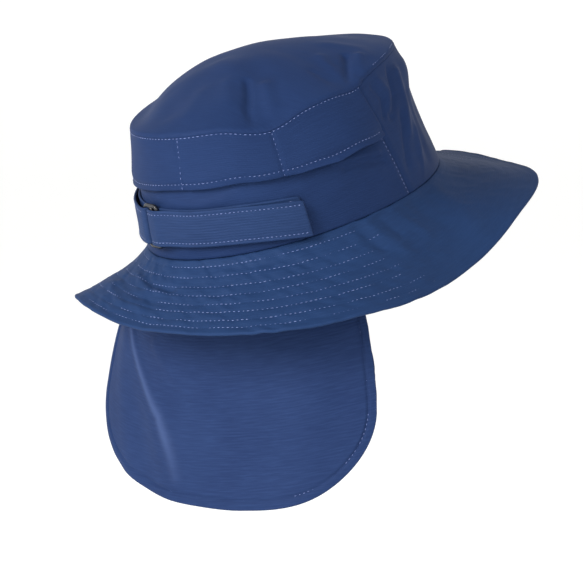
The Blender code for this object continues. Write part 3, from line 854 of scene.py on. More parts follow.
def flap_cloth(across, down):
    """Outside of the neck flap: across runs from -1, left, to 1, right, and down from 0 to 1."""
    across, down = np.broadcast_arrays(np.asarray(across, float), np.asarray(down, float))
    root = flap_root(across)
    radius = FLAP_WIDE / 2 / math.radians(FLAP_TURN)
    turn = np.radians(FLAP_TURN) * across
    low = np.stack([radius * np.sin(turn), radius * (1 - np.cos(turn)) - FLAP_BACK], -1)
    length = flap_length(across)
    spread = 1 - (1 - np.clip(down * length / FLAP_LONG, 0, 1)) ** FLAP_FLARE
    plan = root[..., :2] + (low - root[..., :2]) * spread[..., None]
    relief = np.zeros(across.shape)
    for fold in table(FLAP_FOLD_COLUMNS, FLAP_FOLD_ROWS):
        over = across - fold["across"] - fold["slant"] * down
        relief += FLAP_WIDE * fold["deep"] * bump(over, fold["wide"])
    flat_x, flat_y = across * FLAP_WIDE / 2, down * length
    relief += creases(FLAP_CREASES, flat_x, down * FLAP_LONG, FLAP_WIDE / 2, FLAP_LONG)
    relief += uneven("neck flap", flat_x + 1, flat_y + 1)
    inside = from_flap_edge(flat_x, flat_y)
    relief += FLAP_HEM_THICKER * np.clip((FLAP_HEM - inside) / FLAP_HEM_STEP, 0, 1)
    relief += section(FLAP_HEM_SECTION, inside - FLAP_HEM)
    relief += uneven("neck flap hem", flat_x + flat_y + 1, inside) * np.exp(-inside / FLAP_HEM_REACH)
    outward = np.stack([np.sin(turn), -np.cos(turn)], -1)
    proud = FLAP_THICK / 2 + relief * np.clip(down / FLAP_ROOT_FADE, 0, 1)
    plan = plan + outward * proud[..., None]
    return np.concatenate([plan, (root[..., 2] - down * length)[..., None]], -1)


def band_at(route, at, side, layer_from=None):
    """Middle of a band's thickness at a place on its route; side runs from -0.5, low, to 0.5, high."""
    at, side = np.broadcast_arrays(np.asarray(at, float), np.asarray(side, float))
    per_metre = 360.0 / (math.pi * (OPENING_LONG + OPENING_WIDE) / 2)
    bearing = []
    for row in table(ROUTE_COLUMNS, route):
        on_ring = row["measure"] == "ring"
        bearing.append(RING_BEARING + row["along"] * RING_LONG * per_metre if on_ring else row["along"])
    stand_off = STRAP_AGAINST + column(ROUTE_COLUMNS, route, "lift") * (STRAP_OVER_RING - STRAP_AGAINST)
    stops = np.arange(len(route), dtype=float)
    bearing, stand_off = smooth(stops, bearing, at), smooth(stops, stand_off, at)
    layer = np.clip((at - layer_from) / 6, 0, 1) if layer_from else 0 * at
    lower = read_off(STRAP_COLUMNS, STRAP_ROWS, "lower", bearing)
    upper = read_off(STRAP_COLUMNS, STRAP_ROWS, "upper", bearing)
    middle = WALL_TALL * (lower + (upper - lower) * layer)
    share = (middle + side * STRAP_WIDE) / wall_height(bearing)
    return tipped(wall_point(bearing, share, stand_off))


def strap_cloth(at, side):
    return band_at(STRAP_ROUTE, at, side, 7)


def tab_cloth(at, side):
    return band_at(TAB_ROUTE, at, side)


def facing(surface, u, v, u_step, v_step, turn=1.0):
    """Unit vectors out of a surface, from its slopes at u and v."""
    along = surface(u + u_step, v) - surface(u - u_step, v)
    across = surface(u, v + v_step) - surface(u, v - v_step)
    return turn * unit(np.cross(along, across))


def grid_facing(grid, closed, turn=1.0):
    """Unit vectors out of a grid of points."""
    if closed:
        along = np.roll(grid, -1, 0) - np.roll(grid, 1, 0)
    else:
        along = np.gradient(grid, axis=0)
    return turn * unit(np.cross(along, np.gradient(grid, axis=1)))


def free_edges(rows, columns, closed, pole):
    """Loops of (edge place, neighbour further in) round a grid."""
    last, far = rows - 1, columns - 1
    if closed:
        loops = [[((i, far), (i, far - 1)) for i in range(rows)]]
        if not pole:
            loops.append([((i, 0), (i, 1)) for i in reversed(range(rows))])
        return loops
    loop = [((0, k), (1, min(max(k, 1), far - 1))) for k in range(columns)]
    loop += [((i, far), (min(i, last - 1), far - 1)) for i in range(1, rows)]
    loop += [((last, k), (last - 1, max(k, 1))) for k in reversed(range(far))]
    loop += [((i, 0), (max(i, 1), 1)) for i in reversed(range(1, last))]
    return [loop]


def cloth_shell(name, outer, outward, thick, look, flat, closed=False, pole=None, around=None):
    """A closed piece of cloth: its outside, its inside, and rounded edges between them.

    flat holds the cloth's own coordinates in metres, for patterns. pole is the middle point of a round panel.
    """
    rows, columns = outer.shape[:2]
    count = rows * columns
    thick = np.broadcast_to(thick, outer.shape[:2])
    inner = outer - outward * thick[..., None]
    points = [outer.reshape(-1, 3), inner.reshape(-1, 3)]
    flats = [flat.reshape(-1, 2), flat.reshape(-1, 2)]
    total = 2 * count
    faces = []
    for i in range(rows if closed else rows - 1):
        j = (i + 1) % rows
        for k in range(columns - 1):
            face = (i * columns + k, j * columns + k, j * columns + k + 1, i * columns + k + 1)
            faces.append(face)
            faces.append(tuple(v + count for v in reversed(face)))
    if pole is not None:
        points.append(np.stack([pole[0], pole[1]]))
        flats.append(np.tile(flat[:, 0].mean(0), (2, 1)))
        for i in range(rows):
            j = (i + 1) % rows
            faces.append((j * columns, i * columns, total))
            faces.append((i * columns + count, j * columns + count, total + 1))
        total += 2
    for loop in free_edges(rows, columns, closed, pole is not None):
        edge = np.array([a for a, _ in loop])
        near = np.array([b for _, b in loop])
        index = edge[:, 0] * columns + edge[:, 1]
        top, low = outer.reshape(-1, 3)[index], inner.reshape(-1, 3)[index]
        out = outward.reshape(-1, 3)[index]
        away = top - outer[near[:, 0], near[:, 1]]
        away = unit(away - out * (away * out).sum(-1, keepdims=True))
        half = np.linalg.norm(top - low, axis=-1, keepdims=True) / 2
        rings = [index]
        for turn in (45, 90, 135):
            c, s = math.cos(math.radians(turn)), math.sin(math.radians(turn))
            points.append((top + low) / 2 + half * (out * c + away * s))
            flats.append(flat.reshape(-1, 2)[index])
            rings.append(np.arange(total, total + len(loop)))
            total += len(loop)
        rings.append(index + count)
        for first, second in zip(rings[:-1], rings[1:]):
            for a in range(len(loop)):
                b = (a + 1) % len(loop)
                faces.append((int(first[a]), int(first[b]), int(second[b]), int(second[a])))
    points, flats = np.concatenate(points), np.concatenate(flats)
    return mesh_piece(name, points, faces, look, flats, around)


def inside_out(points, faces):
    """Whether a closed mesh's faces point inwards, from the sign of its volume."""
    volume = 0.0
    for size in (3, 4):
        corners = np.array([f for f in faces if len(f) == size])
        if len(corners):
            a, b, c = points[corners[:, 0]], points[corners[:, 1]], points[corners[:, 2]]
            volume += (a * np.cross(b, c)).sum()
            if size == 4:
                d = points[corners[:, 3]]
                volume += (a * np.cross(c, d)).sum()
    return volume < 0


def put_in_scene(name, data):
    made = bpy.data.objects.new(name, data)
    bpy.context.scene.collection.objects.link(made)
    return made


def mesh_piece(name, points, faces, look, flats=None, around=None):
    """A piece from points and faces; flats holds each point's place on the flat cloth, for patterns."""
    if inside_out(points, faces):
        faces = [tuple(reversed(face)) for face in faces]
    mesh = bpy.data.meshes.new(name)
    mesh.from_pydata(points.tolist(), [], faces)
    mesh.materials.append(look)
    mesh.shade_smooth()
    if flats is not None:
        corner = np.zeros(len(mesh.loops), int)
        mesh.loops.foreach_get("vertex_index", corner)
        laid = flats[corner]
        if around:
            starts = np.zeros(len(mesh.polygons), int)
            sizes = np.zeros(len(mesh.polygons), int)
            mesh.polygons.foreach_get("loop_start", starts)
            mesh.polygons.foreach_get("loop_total", sizes)
            face_of = np.repeat(np.arange(len(starts)), sizes)
            highest = np.maximum.reduceat(laid[:, 0], starts)[face_of]
            laid[:, 0] += around * (highest - laid[:, 0] > around / 2)
        layer = mesh.uv_layers.new(name="cloth")
        layer.data.foreach_set("uv", laid.astype(np.float32).ravel())
    return put_in_scene(name, mesh)


def linear(colour):
    """A colour given as sRGB hex, in linear light."""
    parts = [int(colour[i : i + 2], 16) / 255 for i in (1, 3, 5)]
    return tuple(v / 12.92 if v <= 0.04045 else ((v + 0.055) / 1.055) ** 2.4 for v in parts) + (1.0,)


def node(tree, kind, inputs=None, **settings):
    """Adds a node with its settings, and sets or links each input by its name or number."""
    made = tree.nodes.new(kind)
    for key, value in settings.items():
        setattr(made, key, value)
    for key, value in (inputs or {}).items():
        if isinstance(value, bpy.types.NodeSocket):
            tree.links.new(value, made.inputs[key])
        else:
            made.inputs[key].default_value = value
    return made


def new_look(name):
    made = bpy.data.materials.new(name)
    made.use_nodes = True
    return made, made.node_tree, made.node_tree.nodes["Principled BSDF"]


def stripes(spacing):
    """The Wave Texture's scale for stripes that far apart, in metres."""
    return 2 * math.pi / 20 / spacing


def nylon(name, shade, light, streak, streaky=0.10, rib=SHELL_RIB, rib_deep=0.12, bends_light=1.2):
    """Plain woven nylon cloth, dyed in the piece.

    Weaving gives it a fine rib and slubs, and dyeing makes it uneven: to the eye it is matt, with soft
    streaks along the yarn and a faint silky gloss at its edges. Along a fold it has a painted highlight, a
    paler tone.
    """
    made, tree, shader = new_look(name)
    place = node(tree, "ShaderNodeTexCoord")
    cloth = node(tree, "ShaderNodeUVMap", uv_map="cloth")
    patches = node(
        tree, "ShaderNodeTexNoise",
        {"Vector": place.outputs["Object"], "Scale": 1 / DYE_PATCH, "Detail": 3.0},
    )
    threads = node(
        tree, "ShaderNodeTexWave",
        {"Vector": cloth.outputs["UV"], "Scale": stripes(rib), "Distortion": 1.8,
         "Detail": 1.0, "Detail Scale": 0.5},
        bands_direction="Y",
    )
    stretched = node(
        tree, "ShaderNodeMapping",
        {"Vector": cloth.outputs["UV"], "Scale": (1 / SLUB_LONG, 1 / SLUB_WIDE, 1.0)},
    )
    slubs = node(
        tree, "ShaderNodeTexNoise",
        {"Vector": stretched.outputs["Vector"], "Scale": 1.0, "Detail": 2.0},
    )
    streaks = node(
        tree, "ShaderNodeMapRange",
        {"Value": slubs.outputs["Fac"], "From Min": 0.42, "From Max": 0.66, "To Max": streaky},
    )
    dyed = node(
        tree, "ShaderNodeMix",
        {"Factor": patches.outputs["Fac"], "A": linear(shade), "B": linear(light)},
        data_type="RGBA",
    )
    threaded = node(
        tree, "ShaderNodeMix",
        {"Factor": streaks.outputs["Result"], "A": dyed.outputs["Result"], "B": linear(streak)},
        data_type="RGBA",
    )
    # Painted highlight: a paler tone mixed in along the neck flap's fold, where the mesh attribute marks it
    painted_highlight = node(tree, "ShaderNodeAttribute", attribute_name="painted_highlight")
    highlighted_tone = node(
        tree, "ShaderNodeMix",
        {"Factor": painted_highlight.outputs["Fac"], "A": threaded.outputs["Result"], "B": linear("#354468")},
        data_type="RGBA",
    )
    tree.links.new(highlighted_tone.outputs["Result"], shader.inputs["Base Color"])
    fine = node(
        tree, "ShaderNodeBump",
        {"Height": slubs.outputs["Fac"], "Strength": 0.10, "Distance": 0.4 * MM},
    )
    ribs = node(
        tree, "ShaderNodeBump",
        {"Height": threads.outputs["Fac"], "Strength": rib_deep, "Distance": 0.3 * MM,
         "Normal": fine.outputs["Normal"]},
    )
    tree.links.new(ribs.outputs["Normal"], shader.inputs["Normal"])
    shader.inputs["Roughness"].default_value = 0.66
    shader.inputs["Sheen Weight"].default_value = 0.02
    shader.inputs["Sheen Roughness"].default_value = 0.4
    shader.inputs["Sheen Tint"].default_value = linear("#8FA4D8")
    shader.inputs["IOR"].default_value = bends_light
    return made


def thread_look():
    """Spun polyester sewing thread: paler than the cloth, fuzzy, with a soft gloss on each stitch."""
    made, tree, shader = new_look("spun polyester thread")
    place = node(tree, "ShaderNodeTexCoord")
    fuzz = node(
        tree, "ShaderNodeTexNoise",
        {"Vector": place.outputs["Object"], "Scale": 1 / THREAD_FUZZ, "Detail": 2.0},
    )
    tone = node(
        tree, "ShaderNodeMix",
        {"Factor": fuzz.outputs["Fac"], "A": linear("#42548A"), "B": linear("#7483B4")},
        data_type="RGBA",
    )
    tree.links.new(tone.outputs["Result"], shader.inputs["Base Color"])
    shader.inputs["Roughness"].default_value = 0.6
    shader.inputs["Sheen Weight"].default_value = 0.3
    return made


def ring_look():
    """Injection moulded acetal: black and even, with a low gloss and the mould's faint flow marks."""
    made, tree, shader = new_look("moulded black acetal")
    place = node(tree, "ShaderNodeTexCoord")
    flow = node(
        tree, "ShaderNodeTexNoise",
        {"Vector": place.outputs["Object"], "Scale": 1 / FLOW_MARK, "Detail": 2.0},
    )
    tone = node(
        tree, "ShaderNodeMix",
        {"Factor": flow.outputs["Fac"], "A": linear("#090B10"), "B": linear("#141821")},
        data_type="RGBA",
    )
    tree.links.new(tone.outputs["Result"], shader.inputs["Base Color"])
    skin = node(
        tree, "ShaderNodeBump",
        {"Height": flow.outputs["Fac"], "Strength": 0.15, "Distance": 0.2 * MM},
    )
    tree.links.new(skin.outputs["Normal"], shader.inputs["Normal"])
    shader.inputs["Roughness"].default_value = 0.32
    shader.inputs["IOR"].default_value = 1.48
    return made


def floor_look():
    """Matt white studio paint: even and without gloss, so that the floor fades into the far wall."""
    made, _, shader = new_look("matt white studio floor")
    shader.inputs["Base Color"].default_value = linear("#FAFAF9")
    shader.inputs["Roughness"].default_value = 0.9
    shader.inputs["Emission Color"].default_value = linear("#FFFFFF")
    shader.inputs["Emission Strength"].default_value = FLOOR_GLOW
    return made


def laid_flat(u, v):
    return np.stack(np.broadcast_arrays(u, v), -1).astype(float)


def make_top(look):
    bearings = np.arange(TOP_STEPS)[:, None] * 360.0 / TOP_STEPS
    near_edge = 1 - np.array(TOP_EDGE_LINES) * MM / TOP_REACH
    rings = np.concatenate([np.linspace(0.02, 0.95, TOP_RINGS), near_edge[::-1]])[None]
    grid = top_cloth(bearings, rings)
    plan = top_point(bearings, rings)[..., :2]
    middle = top_cloth(0.0, 0.0)
    outward = grid_facing(grid, True, -1.0)
    pole = (middle, middle - outward[:, 0].mean(0) * TOP_CLOTH_THICK)
    return cloth_shell("top_panel", grid, outward, TOP_CLOTH_THICK, look, plan, closed=True, pole=pole)


def make_wall(name, first, last, steps, look):
    """A panel of the side wall between two side seams, given as turns of the right one."""
    lines = np.concatenate([WALL_FOOT_LINES, np.linspace(*WALL_BODY_LINES), WALL_TIP_LINES])
    shares = (lines / WALL_GRID_TALL)[None]
    part = np.linspace(0, 1, steps)[:, None]
    start, end = first(shares) + WALL_SHORT_OF_SEAM, last(shares) - WALL_SHORT_OF_SEAM
    bearings = start + (end - start) * part
    grid = wall_cloth(bearings, shares)
    flat = laid_flat(bearings * DEGREE, shares * WALL_TALL)
    return cloth_shell(name, grid, grid_facing(grid, False), WALL_CLOTH_THICK, look, flat)


def make_vent(look):
    lines = np.concatenate([VENT_ROOT_LINES, np.linspace(*VENT_BODY_LINES), [VENT_GRID_TALL]])
    downs = (lines / VENT_GRID_TALL)[None]
    end = side_seam(1 - downs * VENT_DROP / WALL_TALL) - VENT_SHORT_OF_SEAM
    bearings = np.linspace(-1, 1, VENT_STEPS)[:, None] * end
    grid = vent_cloth(bearings, downs)
    in_hem = np.clip((downs - VENT_HEM_FROM) / VENT_HEM_STEP, 0, 1)
    thick = VENT_CLOTH_THICK + VENT_HEM_THICKER * in_hem
    flat = laid_flat(bearings * DEGREE, -downs * VENT_DROP)
    return cloth_shell("vent_cloth", grid, grid_facing(grid, False, -1.0), thick, look, flat)


def make_brim(look):
    bearings = np.arange(BRIM_TURN_STEPS)[:, None] * 360.0 / BRIM_TURN_STEPS
    shares = np.linspace(0, BRIM_GRID_END, BRIM_RINGS)[None]
    grid = brim_cloth(bearings, shares)
    flat = laid_flat(bearings * BRIM_DEGREE, shares * BRIM_WIDE)
    return cloth_shell(
        "brim_cloth", grid, grid_facing(grid, True, -1.0), BRIM_CLOTH_THICK, look, flat,
        closed=True, around=360 * BRIM_DEGREE,
    )


def make_neck_flap(look):
    across = FLAP_CLOSER_AT_SIDES * np.sin(np.radians(np.linspace(-90, 90, FLAP_ACROSS_STEPS)))
    across = (across + (1 - FLAP_CLOSER_AT_SIDES) * np.linspace(-1, 1, FLAP_ACROSS_STEPS))[:, None]
    downs = np.linspace(0, 1, FLAP_DOWN_STEPS)[None]
    grid = flap_cloth(across, downs)
    flat = laid_flat(across * FLAP_WIDE / 2, -downs * flap_length(across))
    outward = grid_facing(grid, False, -1.0)
    made = cloth_shell("flap_cloth", grid, outward, FLAP_CLOTH_THICK, look, flat)
    # A painted highlight along the flap's fold
    paint_flap_highlight(made, across, downs)
    return made


def paint_flap_highlight(made, across, downs):
    """Paints a highlight along the neck flap's fold, as a paler tone. The grid's points are the mesh's first.
    """
    path = [(a * FLAP_WIDE / 2, b * FLAP_LONG) for a, b in FLAP_HIGHLIGHT_PATH]
    wide = HIGHLIGHT_WIDE + HIGHLIGHT_WIDENS * np.clip((downs - HIGHLIGHT_WIDENS_FROM) / HIGHLIGHT_WIDENS_OVER, 0, 1)
    painted_highlight = crease(across * FLAP_WIDE / 2, downs * FLAP_LONG, path, wide)
    painted_highlight = painted_highlight * np.clip((HIGHLIGHT_END - downs) / HIGHLIGHT_END_FADE, 0, 1)
    values = np.zeros(len(made.data.vertices), np.float32)
    values[: painted_highlight.size] = HIGHLIGHT_MOST * painted_highlight.ravel()
    made.data.attributes.new("painted_highlight", "FLOAT", "POINT").data.foreach_set("value", values)


def make_band(name, surface, stops, look):
    """A folded band of cloth along its route, sunk where it is sewn along both edges."""
    ats = np.linspace(0, stops - 1, (stops - 1) * BAND_STEPS + 1)[:, None]
    sides = np.array(BAND_SIDES)[None]
    middle = surface(ats, sides)
    outward = grid_facing(middle, False)
    first = middle[0, BAND_MIDDLE]
    if outward[0, BAND_MIDDLE] @ (first - np.array([0, 0, first[2]])) < 0:
        outward = -outward
    from_edge = (0.5 - np.abs(sides)) * STRAP_WIDE
    thick = BAND_CLOTH_THICK + 2 * section(BAND_ROW_SECTION, from_edge - STRAP_ROW_IN)
    grid = middle + outward * (thick / 2)[..., None]
    steps = np.linalg.norm(np.diff(middle[:, BAND_MIDDLE], axis=0), axis=-1)
    length = np.concatenate([[0], np.cumsum(steps)])[:, None]
    flat = laid_flat(length, sides * STRAP_WIDE)
    return cloth_shell(name, grid, outward, thick, look, flat)


def swept(name, paths, look, wide, tall, up, sides=10):
    """Rounded bars along paths; a path whose ends meet is closed."""
    points, faces = [], []
    for path in paths:
        path = np.asarray(path)
        closed = np.linalg.norm(path[0] - path[-1]) < 1e-7
        path = path[:-1] if closed else path
        count, start = len(path), sum(len(p) for p in points)
        ahead = np.roll(path, -1, 0) - np.roll(path, 1, 0) if closed else np.gradient(path, axis=0)
        ahead = unit(ahead)
        over = np.broadcast_to(up, ahead.shape)
        side = unit(np.cross(ahead, over))
        turn = np.arange(sides) * 2 * np.pi / sides
        c, s = np.cos(turn), np.sin(turn)
        in_width = np.sign(c) * np.abs(c) ** BAR_SQUARE * wide / 2
        in_height = np.sign(s) * np.abs(s) ** BAR_SQUARE * tall / 2
        outline = side[:, None] * in_width[None, :, None] + over[:, None] * in_height[None, :, None]
        points.append((path[:, None] + outline).reshape(-1, 3))
        for i in range(count if closed else count - 1):
            j = (i + 1) % count
            for k in range(sides):
                m = (k + 1) % sides
                here, there = start + i * sides, start + j * sides
                faces.append((here + k, there + k, there + m, here + m))
        if not closed:
            faces.append(tuple(start + k for k in range(sides)))
            faces.append(tuple(start + (count - 1) * sides + k for k in reversed(range(sides))))
    mesh = bpy.data.meshes.new(name)
    mesh.from_pydata(np.concatenate(points).tolist(), [], faces)
    mesh.materials.append(look)
    mesh.shade_smooth()
    return put_in_scene(name, mesh)


def make_ring(look):
    """The strap's three-bar loop: a rounded frame with a middle bar."""
    bearing = np.array([RING_BEARING])
    height = WALL_TALL * read_off(STRAP_COLUMNS, STRAP_ROWS, "lower", RING_BEARING)
    centre = wall_point(bearing, height / wall_height(bearing), RING_STAND_OFF)[0]
    raised = wall_point(bearing, 0.02 + height / wall_height(bearing), RING_STAND_OFF)[0]
    out = np.append(plan_outward(bearing)[0], 0.0)
    up = unit(raised - centre)
    along = unit(np.cross(up, out))
    out = unit(np.cross(along, up))
    half_long, half_tall = RING_LONG / 2 - RING_SET_IN, RING_TALL / 2 - RING_RAIL / 2
    loop = []
    for turn_x, turn_y, start in ((1, 1, 0), (-1, 1, 90), (-1, -1, 180), (1, -1, 270)):
        for t in np.radians(start + np.linspace(0, 90, 7)):
            a = turn_x * (half_long - RING_CORNER) + RING_CORNER * math.cos(t) - RING_OFF_MIDDLE * RING_LONG
            b = turn_y * (half_tall - RING_CORNER) + RING_CORNER * math.sin(t)
            loop.append(centre + along * a + up * b)
    loop.append(loop[0])
    bar = [centre + up * b for b in np.linspace(-half_tall, half_tall, 9)]
    loop, bar = tipped(np.array(loop)), tipped(np.array(bar))
    return swept("strap_loop", [loop, bar], look, RING_RAIL * RAIL_FLATTER, RING_THICK, WORN @ out, 12)


def sewing_tree(look):
    """Geometry Nodes that lay stitches along rows: length, width and pitch are its inputs."""
    tree = bpy.data.node_groups.new("stitches along rows", "GeometryNodeTree")
    face = tree.interface
    face.new_socket("Rows", in_out="INPUT", socket_type="NodeSocketGeometry")
    for name, value in (("Pitch", SEAM_PITCH), ("Long", STITCH_LONG), ("Wide", STITCH_WIDE)):
        made = face.new_socket(name, in_out="INPUT", socket_type="NodeSocketFloat")
        made.default_value = value
    face.new_socket("Stitches", in_out="OUTPUT", socket_type="NodeSocketGeometry")
    given = node(tree, "NodeGroupInput")
    rows = node(tree, "GeometryNodeMeshToCurve", {"Mesh": given.outputs["Rows"]})
    spaced = node(
        tree, "GeometryNodeResampleCurve",
        {"Curve": rows.outputs["Curve"], "Length": given.outputs["Pitch"]}, mode="LENGTH",
    )
    ahead = node(tree, "GeometryNodeInputTangent")
    out = node(tree, "GeometryNodeInputNamedAttribute", {"Name": "out"}, data_type="FLOAT_VECTOR")
    turned = node(
        tree, "FunctionNodeAxesToRotation",
        {"Primary Axis": ahead.outputs["Tangent"], "Secondary Axis": out.outputs["Attribute"]},
        primary_axis="X", secondary_axis="Z",
    )
    size = node(
        tree, "ShaderNodeCombineXYZ",
        {"X": given.outputs["Long"], "Y": given.outputs["Wide"], "Z": given.outputs["Wide"]},
    )
    bead = node(tree, "GeometryNodeMeshUVSphere", {"Segments": 6, "Rings": 4, "Radius": 0.5})
    lying = node(
        tree, "GeometryNodeTransform",
        {"Geometry": bead.outputs["Mesh"], "Rotation": (0.0, math.pi / 2, 0.0)},
    )
    slack = node(
        tree, "FunctionNodeRandomValue",
        {"Min": (0.55, 0.8, 0.7), "Max": (1.15, 1.1, 1.1), "Seed": 7}, data_type="FLOAT_VECTOR",
    )
    sized = node(
        tree, "ShaderNodeVectorMath",
        {0: size.outputs["Vector"], 1: slack.outputs["Value"]}, operation="MULTIPLY",
    )
    laid = node(
        tree, "GeometryNodeInstanceOnPoints",
        {"Points": spaced.outputs["Curve"], "Instance": lying.outputs["Geometry"],
         "Rotation": turned.outputs["Rotation"], "Scale": sized.outputs["Vector"]},
    )
    real = node(tree, "GeometryNodeRealizeInstances", {"Geometry": laid.outputs["Instances"]})
    soft = node(tree, "GeometryNodeSetShadeSmooth", {"Geometry": real.outputs["Geometry"]})
    dyed = node(tree, "GeometryNodeSetMaterial", {"Geometry": soft.outputs["Geometry"], "Material": look})
    node(tree, "NodeGroupOutput", {"Stitches": dyed.outputs["Geometry"]})
    return tree


def sewn_row(surface, u, v, u_step, v_step, turn, sunk=0.0):
    """A row of stitches on a surface: its points, raised to lie on the cloth, and the ways out of it."""
    u, v = np.broadcast_arrays(np.asarray(u, float), np.asarray(v, float))
    out = facing(surface, u, v, u_step, v_step, turn)
    places = surface(u, v)
    walked = np.concatenate([[0], np.cumsum(np.linalg.norm(np.diff(places, axis=0), axis=-1))])
    waves = ripple(walked + 1, 0 * walked + 50 * abs(v[0]), PULLED_WAVE, 1.0, 31)
    pulled = PULLED_MOST * np.clip(PULLED_SHARE + waves, 0, 1)
    lift = THREAD_LIFT - (np.broadcast_to(sunk, u.shape) + pulled) * MM
    return places + out * lift[..., None], out


def sew(name, rows, tree, pitch):
    """Turns rows of (points, ways out) into a plain mesh of stitches."""
    points = np.concatenate([row[0] for row in rows])
    ways = np.concatenate([row[1] for row in rows])
    edges, start = [], 0
    for row in rows:
        edges += [(start + i, start + i + 1) for i in range(len(row[0]) - 1)]
        start += len(row[0])
    mesh = bpy.data.meshes.new(name + "_rows")
    mesh.from_pydata(points.tolist(), edges, [])
    out = mesh.attributes.new("out", "FLOAT_VECTOR", "POINT")
    out.data.foreach_set("vector", ways.astype(np.float32).ravel())
    rows_object = put_in_scene(name + "_rows", mesh)
    sewing = rows_object.modifiers.new("sewing", "NODES")
    sewing.node_group = tree
    for socket in tree.interface.items_tree:
        if socket.name == "Pitch":
            sewing[socket.identifier] = pitch
    graph = bpy.context.evaluated_depsgraph_get()
    done = bpy.data.meshes.new_from_object(rows_object.evaluated_get(graph))
    made = put_in_scene(name, done)
    bpy.data.objects.remove(rows_object, do_unlink=True)
    return made


def brim_rows():
    bearings = np.linspace(*BRIM_ROW_SPAN)
    sunk = read_off(BRIM_SUNK_COLUMNS, BRIM_SUNK_ROWS, "sunk", angle_apart(bearings, 0.0))
    return [
        sewn_row(brim_cloth, bearings, at, FINE_TURN, SHARE_STEP, -1.0, sunk) for at in BRIM_SEWN_AT
    ]


def under_brim_rows():
    bearings = np.linspace(*BRIM_ROW_SPAN)

    def underside(bearing, share):
        return brim_cloth(bearing, share, BRIM_CLOTH_THICK)

    return [
        sewn_row(underside, bearings, at, FINE_TURN, SHARE_STEP, 1.0, UNDER_BRIM_SUNK) for at in BRIM_SEWN_AT
    ]


def crown_rows():
    """Beside both side seams, and along the tip seam over the front panel."""
    shares = np.linspace(*SIDE_SEAM_ROW_SPAN)
    beside = side_seam(shares) - SEAM_ROW_IN
    rows = [sewn_row(wall_cloth, turn * beside, shares, FINE_TURN, SHARE_STEP, 1.0) for turn in (1, -1)]
    around = np.linspace(*TIP_ROW_SPAN)
    seam_in = 1 - TOP_ROW_IN / TOP_REACH
    rows.append(sewn_row(top_cloth, around, seam_in, WIDE_TURN, SHARE_STEP, -1.0, TIP_ROW_SUNK))
    return rows


def vent_rows():
    """Along the vent flap's hem and its root, and down where it is sewn to the wall."""
    ends = side_seam(0.8) - VENT_ROW_SHORT_OF_SEAM
    along = np.linspace(-ends, ends, VENT_LONG_ROW_POINTS)
    past_clear = np.abs(along - VENT_CLEAR_MIDDLE) - VENT_CLEAR_SPREAD
    sunk = VENT_ROW_SUNK * np.clip(past_clear / VENT_CLEAR_FADE, 0, 1)
    rows = []
    for down, deep in ((1 - HEM_IN / vent_drop(along), sunk), (TOP_ROW_IN / vent_drop(along), 0.0)):
        rows.append(sewn_row(vent_cloth, along, down, WIDE_TURN, VENT_STEP, 1.0, deep))
    downs = np.linspace(*VENT_DOWN_ROW_SPAN)
    for at, lean in zip(VENT_SEWN_AT, VENT_ROWS_LEAN):
        rows.append(sewn_row(vent_cloth, at + lean * (0.5 - downs), downs, WIDE_TURN, VENT_STEP, 1.0))
    return rows


def strap_rows():
    """Along both edges of the strap's outer layer, across its end, and along its inner layer's upper edge."""
    outer, inner = np.linspace(*STRAP_OUTER_ROW_SPAN), np.linspace(*STRAP_INNER_ROW_SPAN)
    inset = 0.5 - STRAP_ROW_IN / STRAP_WIDE
    rows = [on_band(strap_cloth, outer, 0 * outer + side) for side in (-inset, inset)]
    across = np.linspace(-inset, inset, STRAP_END_ROW_POINTS)
    rows.append(on_band(strap_cloth, 0 * across + STRAP_END_ROW_AT, across))
    rows.append(on_band(strap_cloth, inner, 0 * inner + inset))
    return rows


def on_band(surface, at, side):
    """A row of stitches on the outside of a band."""
    out = facing(surface, at, side, 0.04, 0.02)
    places = surface(at, side)
    level = places - np.array([0, 0, 1.0]) * places[:, 2:]
    out = out * np.sign((out * level).sum(-1, keepdims=True))
    return places + out * (STRAP_THICK / 2 - THREAD_LIFT), out


def tab_rows():
    ats = np.linspace(*TAB_ROW_SPAN)
    inset = 0.5 - STRAP_ROW_IN / STRAP_WIDE
    return [on_band(tab_cloth, ats, 0 * ats + side) for side in (-inset, inset)]


def flap_hem_row():
    """A row FLAP_HEM inside the flap's free edge, as places across and down the flap."""
    edge = FLAP_EDGE
    along = unit(np.gradient(edge, axis=0))
    inward = np.stack([along[:, 1], -along[:, 0]], -1)
    flat = edge + inward * FLAP_HEM
    keep = (flat[:, 1] > 0.02) & (np.abs(flat[:, 0]) < FLAP_WIDE / 2 - FLAP_HEM * 0.9)
    flat = flat[keep]
    apart = from_flap_edge(flat[:, 0], flat[:, 1])
    flat = flat[apart > FLAP_HEM * 0.97]
    across = flat[:, 0] / (FLAP_WIDE / 2)
    down = flat[:, 1] / flap_length(across)
    sunk = np.where(across < FLAP_CLEAR_FROM, FLAP_ROW_SUNK, 0.0)
    return [sewn_row(flap_cloth, across, down, 0.004, 0.004, -1.0, sunk)]


def make_stage():
    """A pale floor that turns up into a far wall, all round."""
    points, faces = [], []
    for radius, rise in FLOOR_RINGS:
        for i in range(FLOOR_STEPS):
            t = 2 * math.pi * i / FLOOR_STEPS
            points.append((radius * math.cos(t), radius * math.sin(t), FLOOR_LEVEL + rise))
    points.append((0.0, 0.0, FLOOR_LEVEL))
    for i in range(FLOOR_STEPS):
        j = (i + 1) % FLOOR_STEPS
        faces.append((i, j, len(points) - 1))
        for ring in range(len(FLOOR_RINGS) - 1):
            a = ring * FLOOR_STEPS
            faces.append((a + i, a + FLOOR_STEPS + i, a + FLOOR_STEPS + j, a + j))
    mesh = bpy.data.meshes.new("studio_floor")
    mesh.from_pydata(points, [], faces)
    mesh.shade_smooth()
    mesh.materials.append(floor_look())
    put_in_scene("studio_floor", mesh)


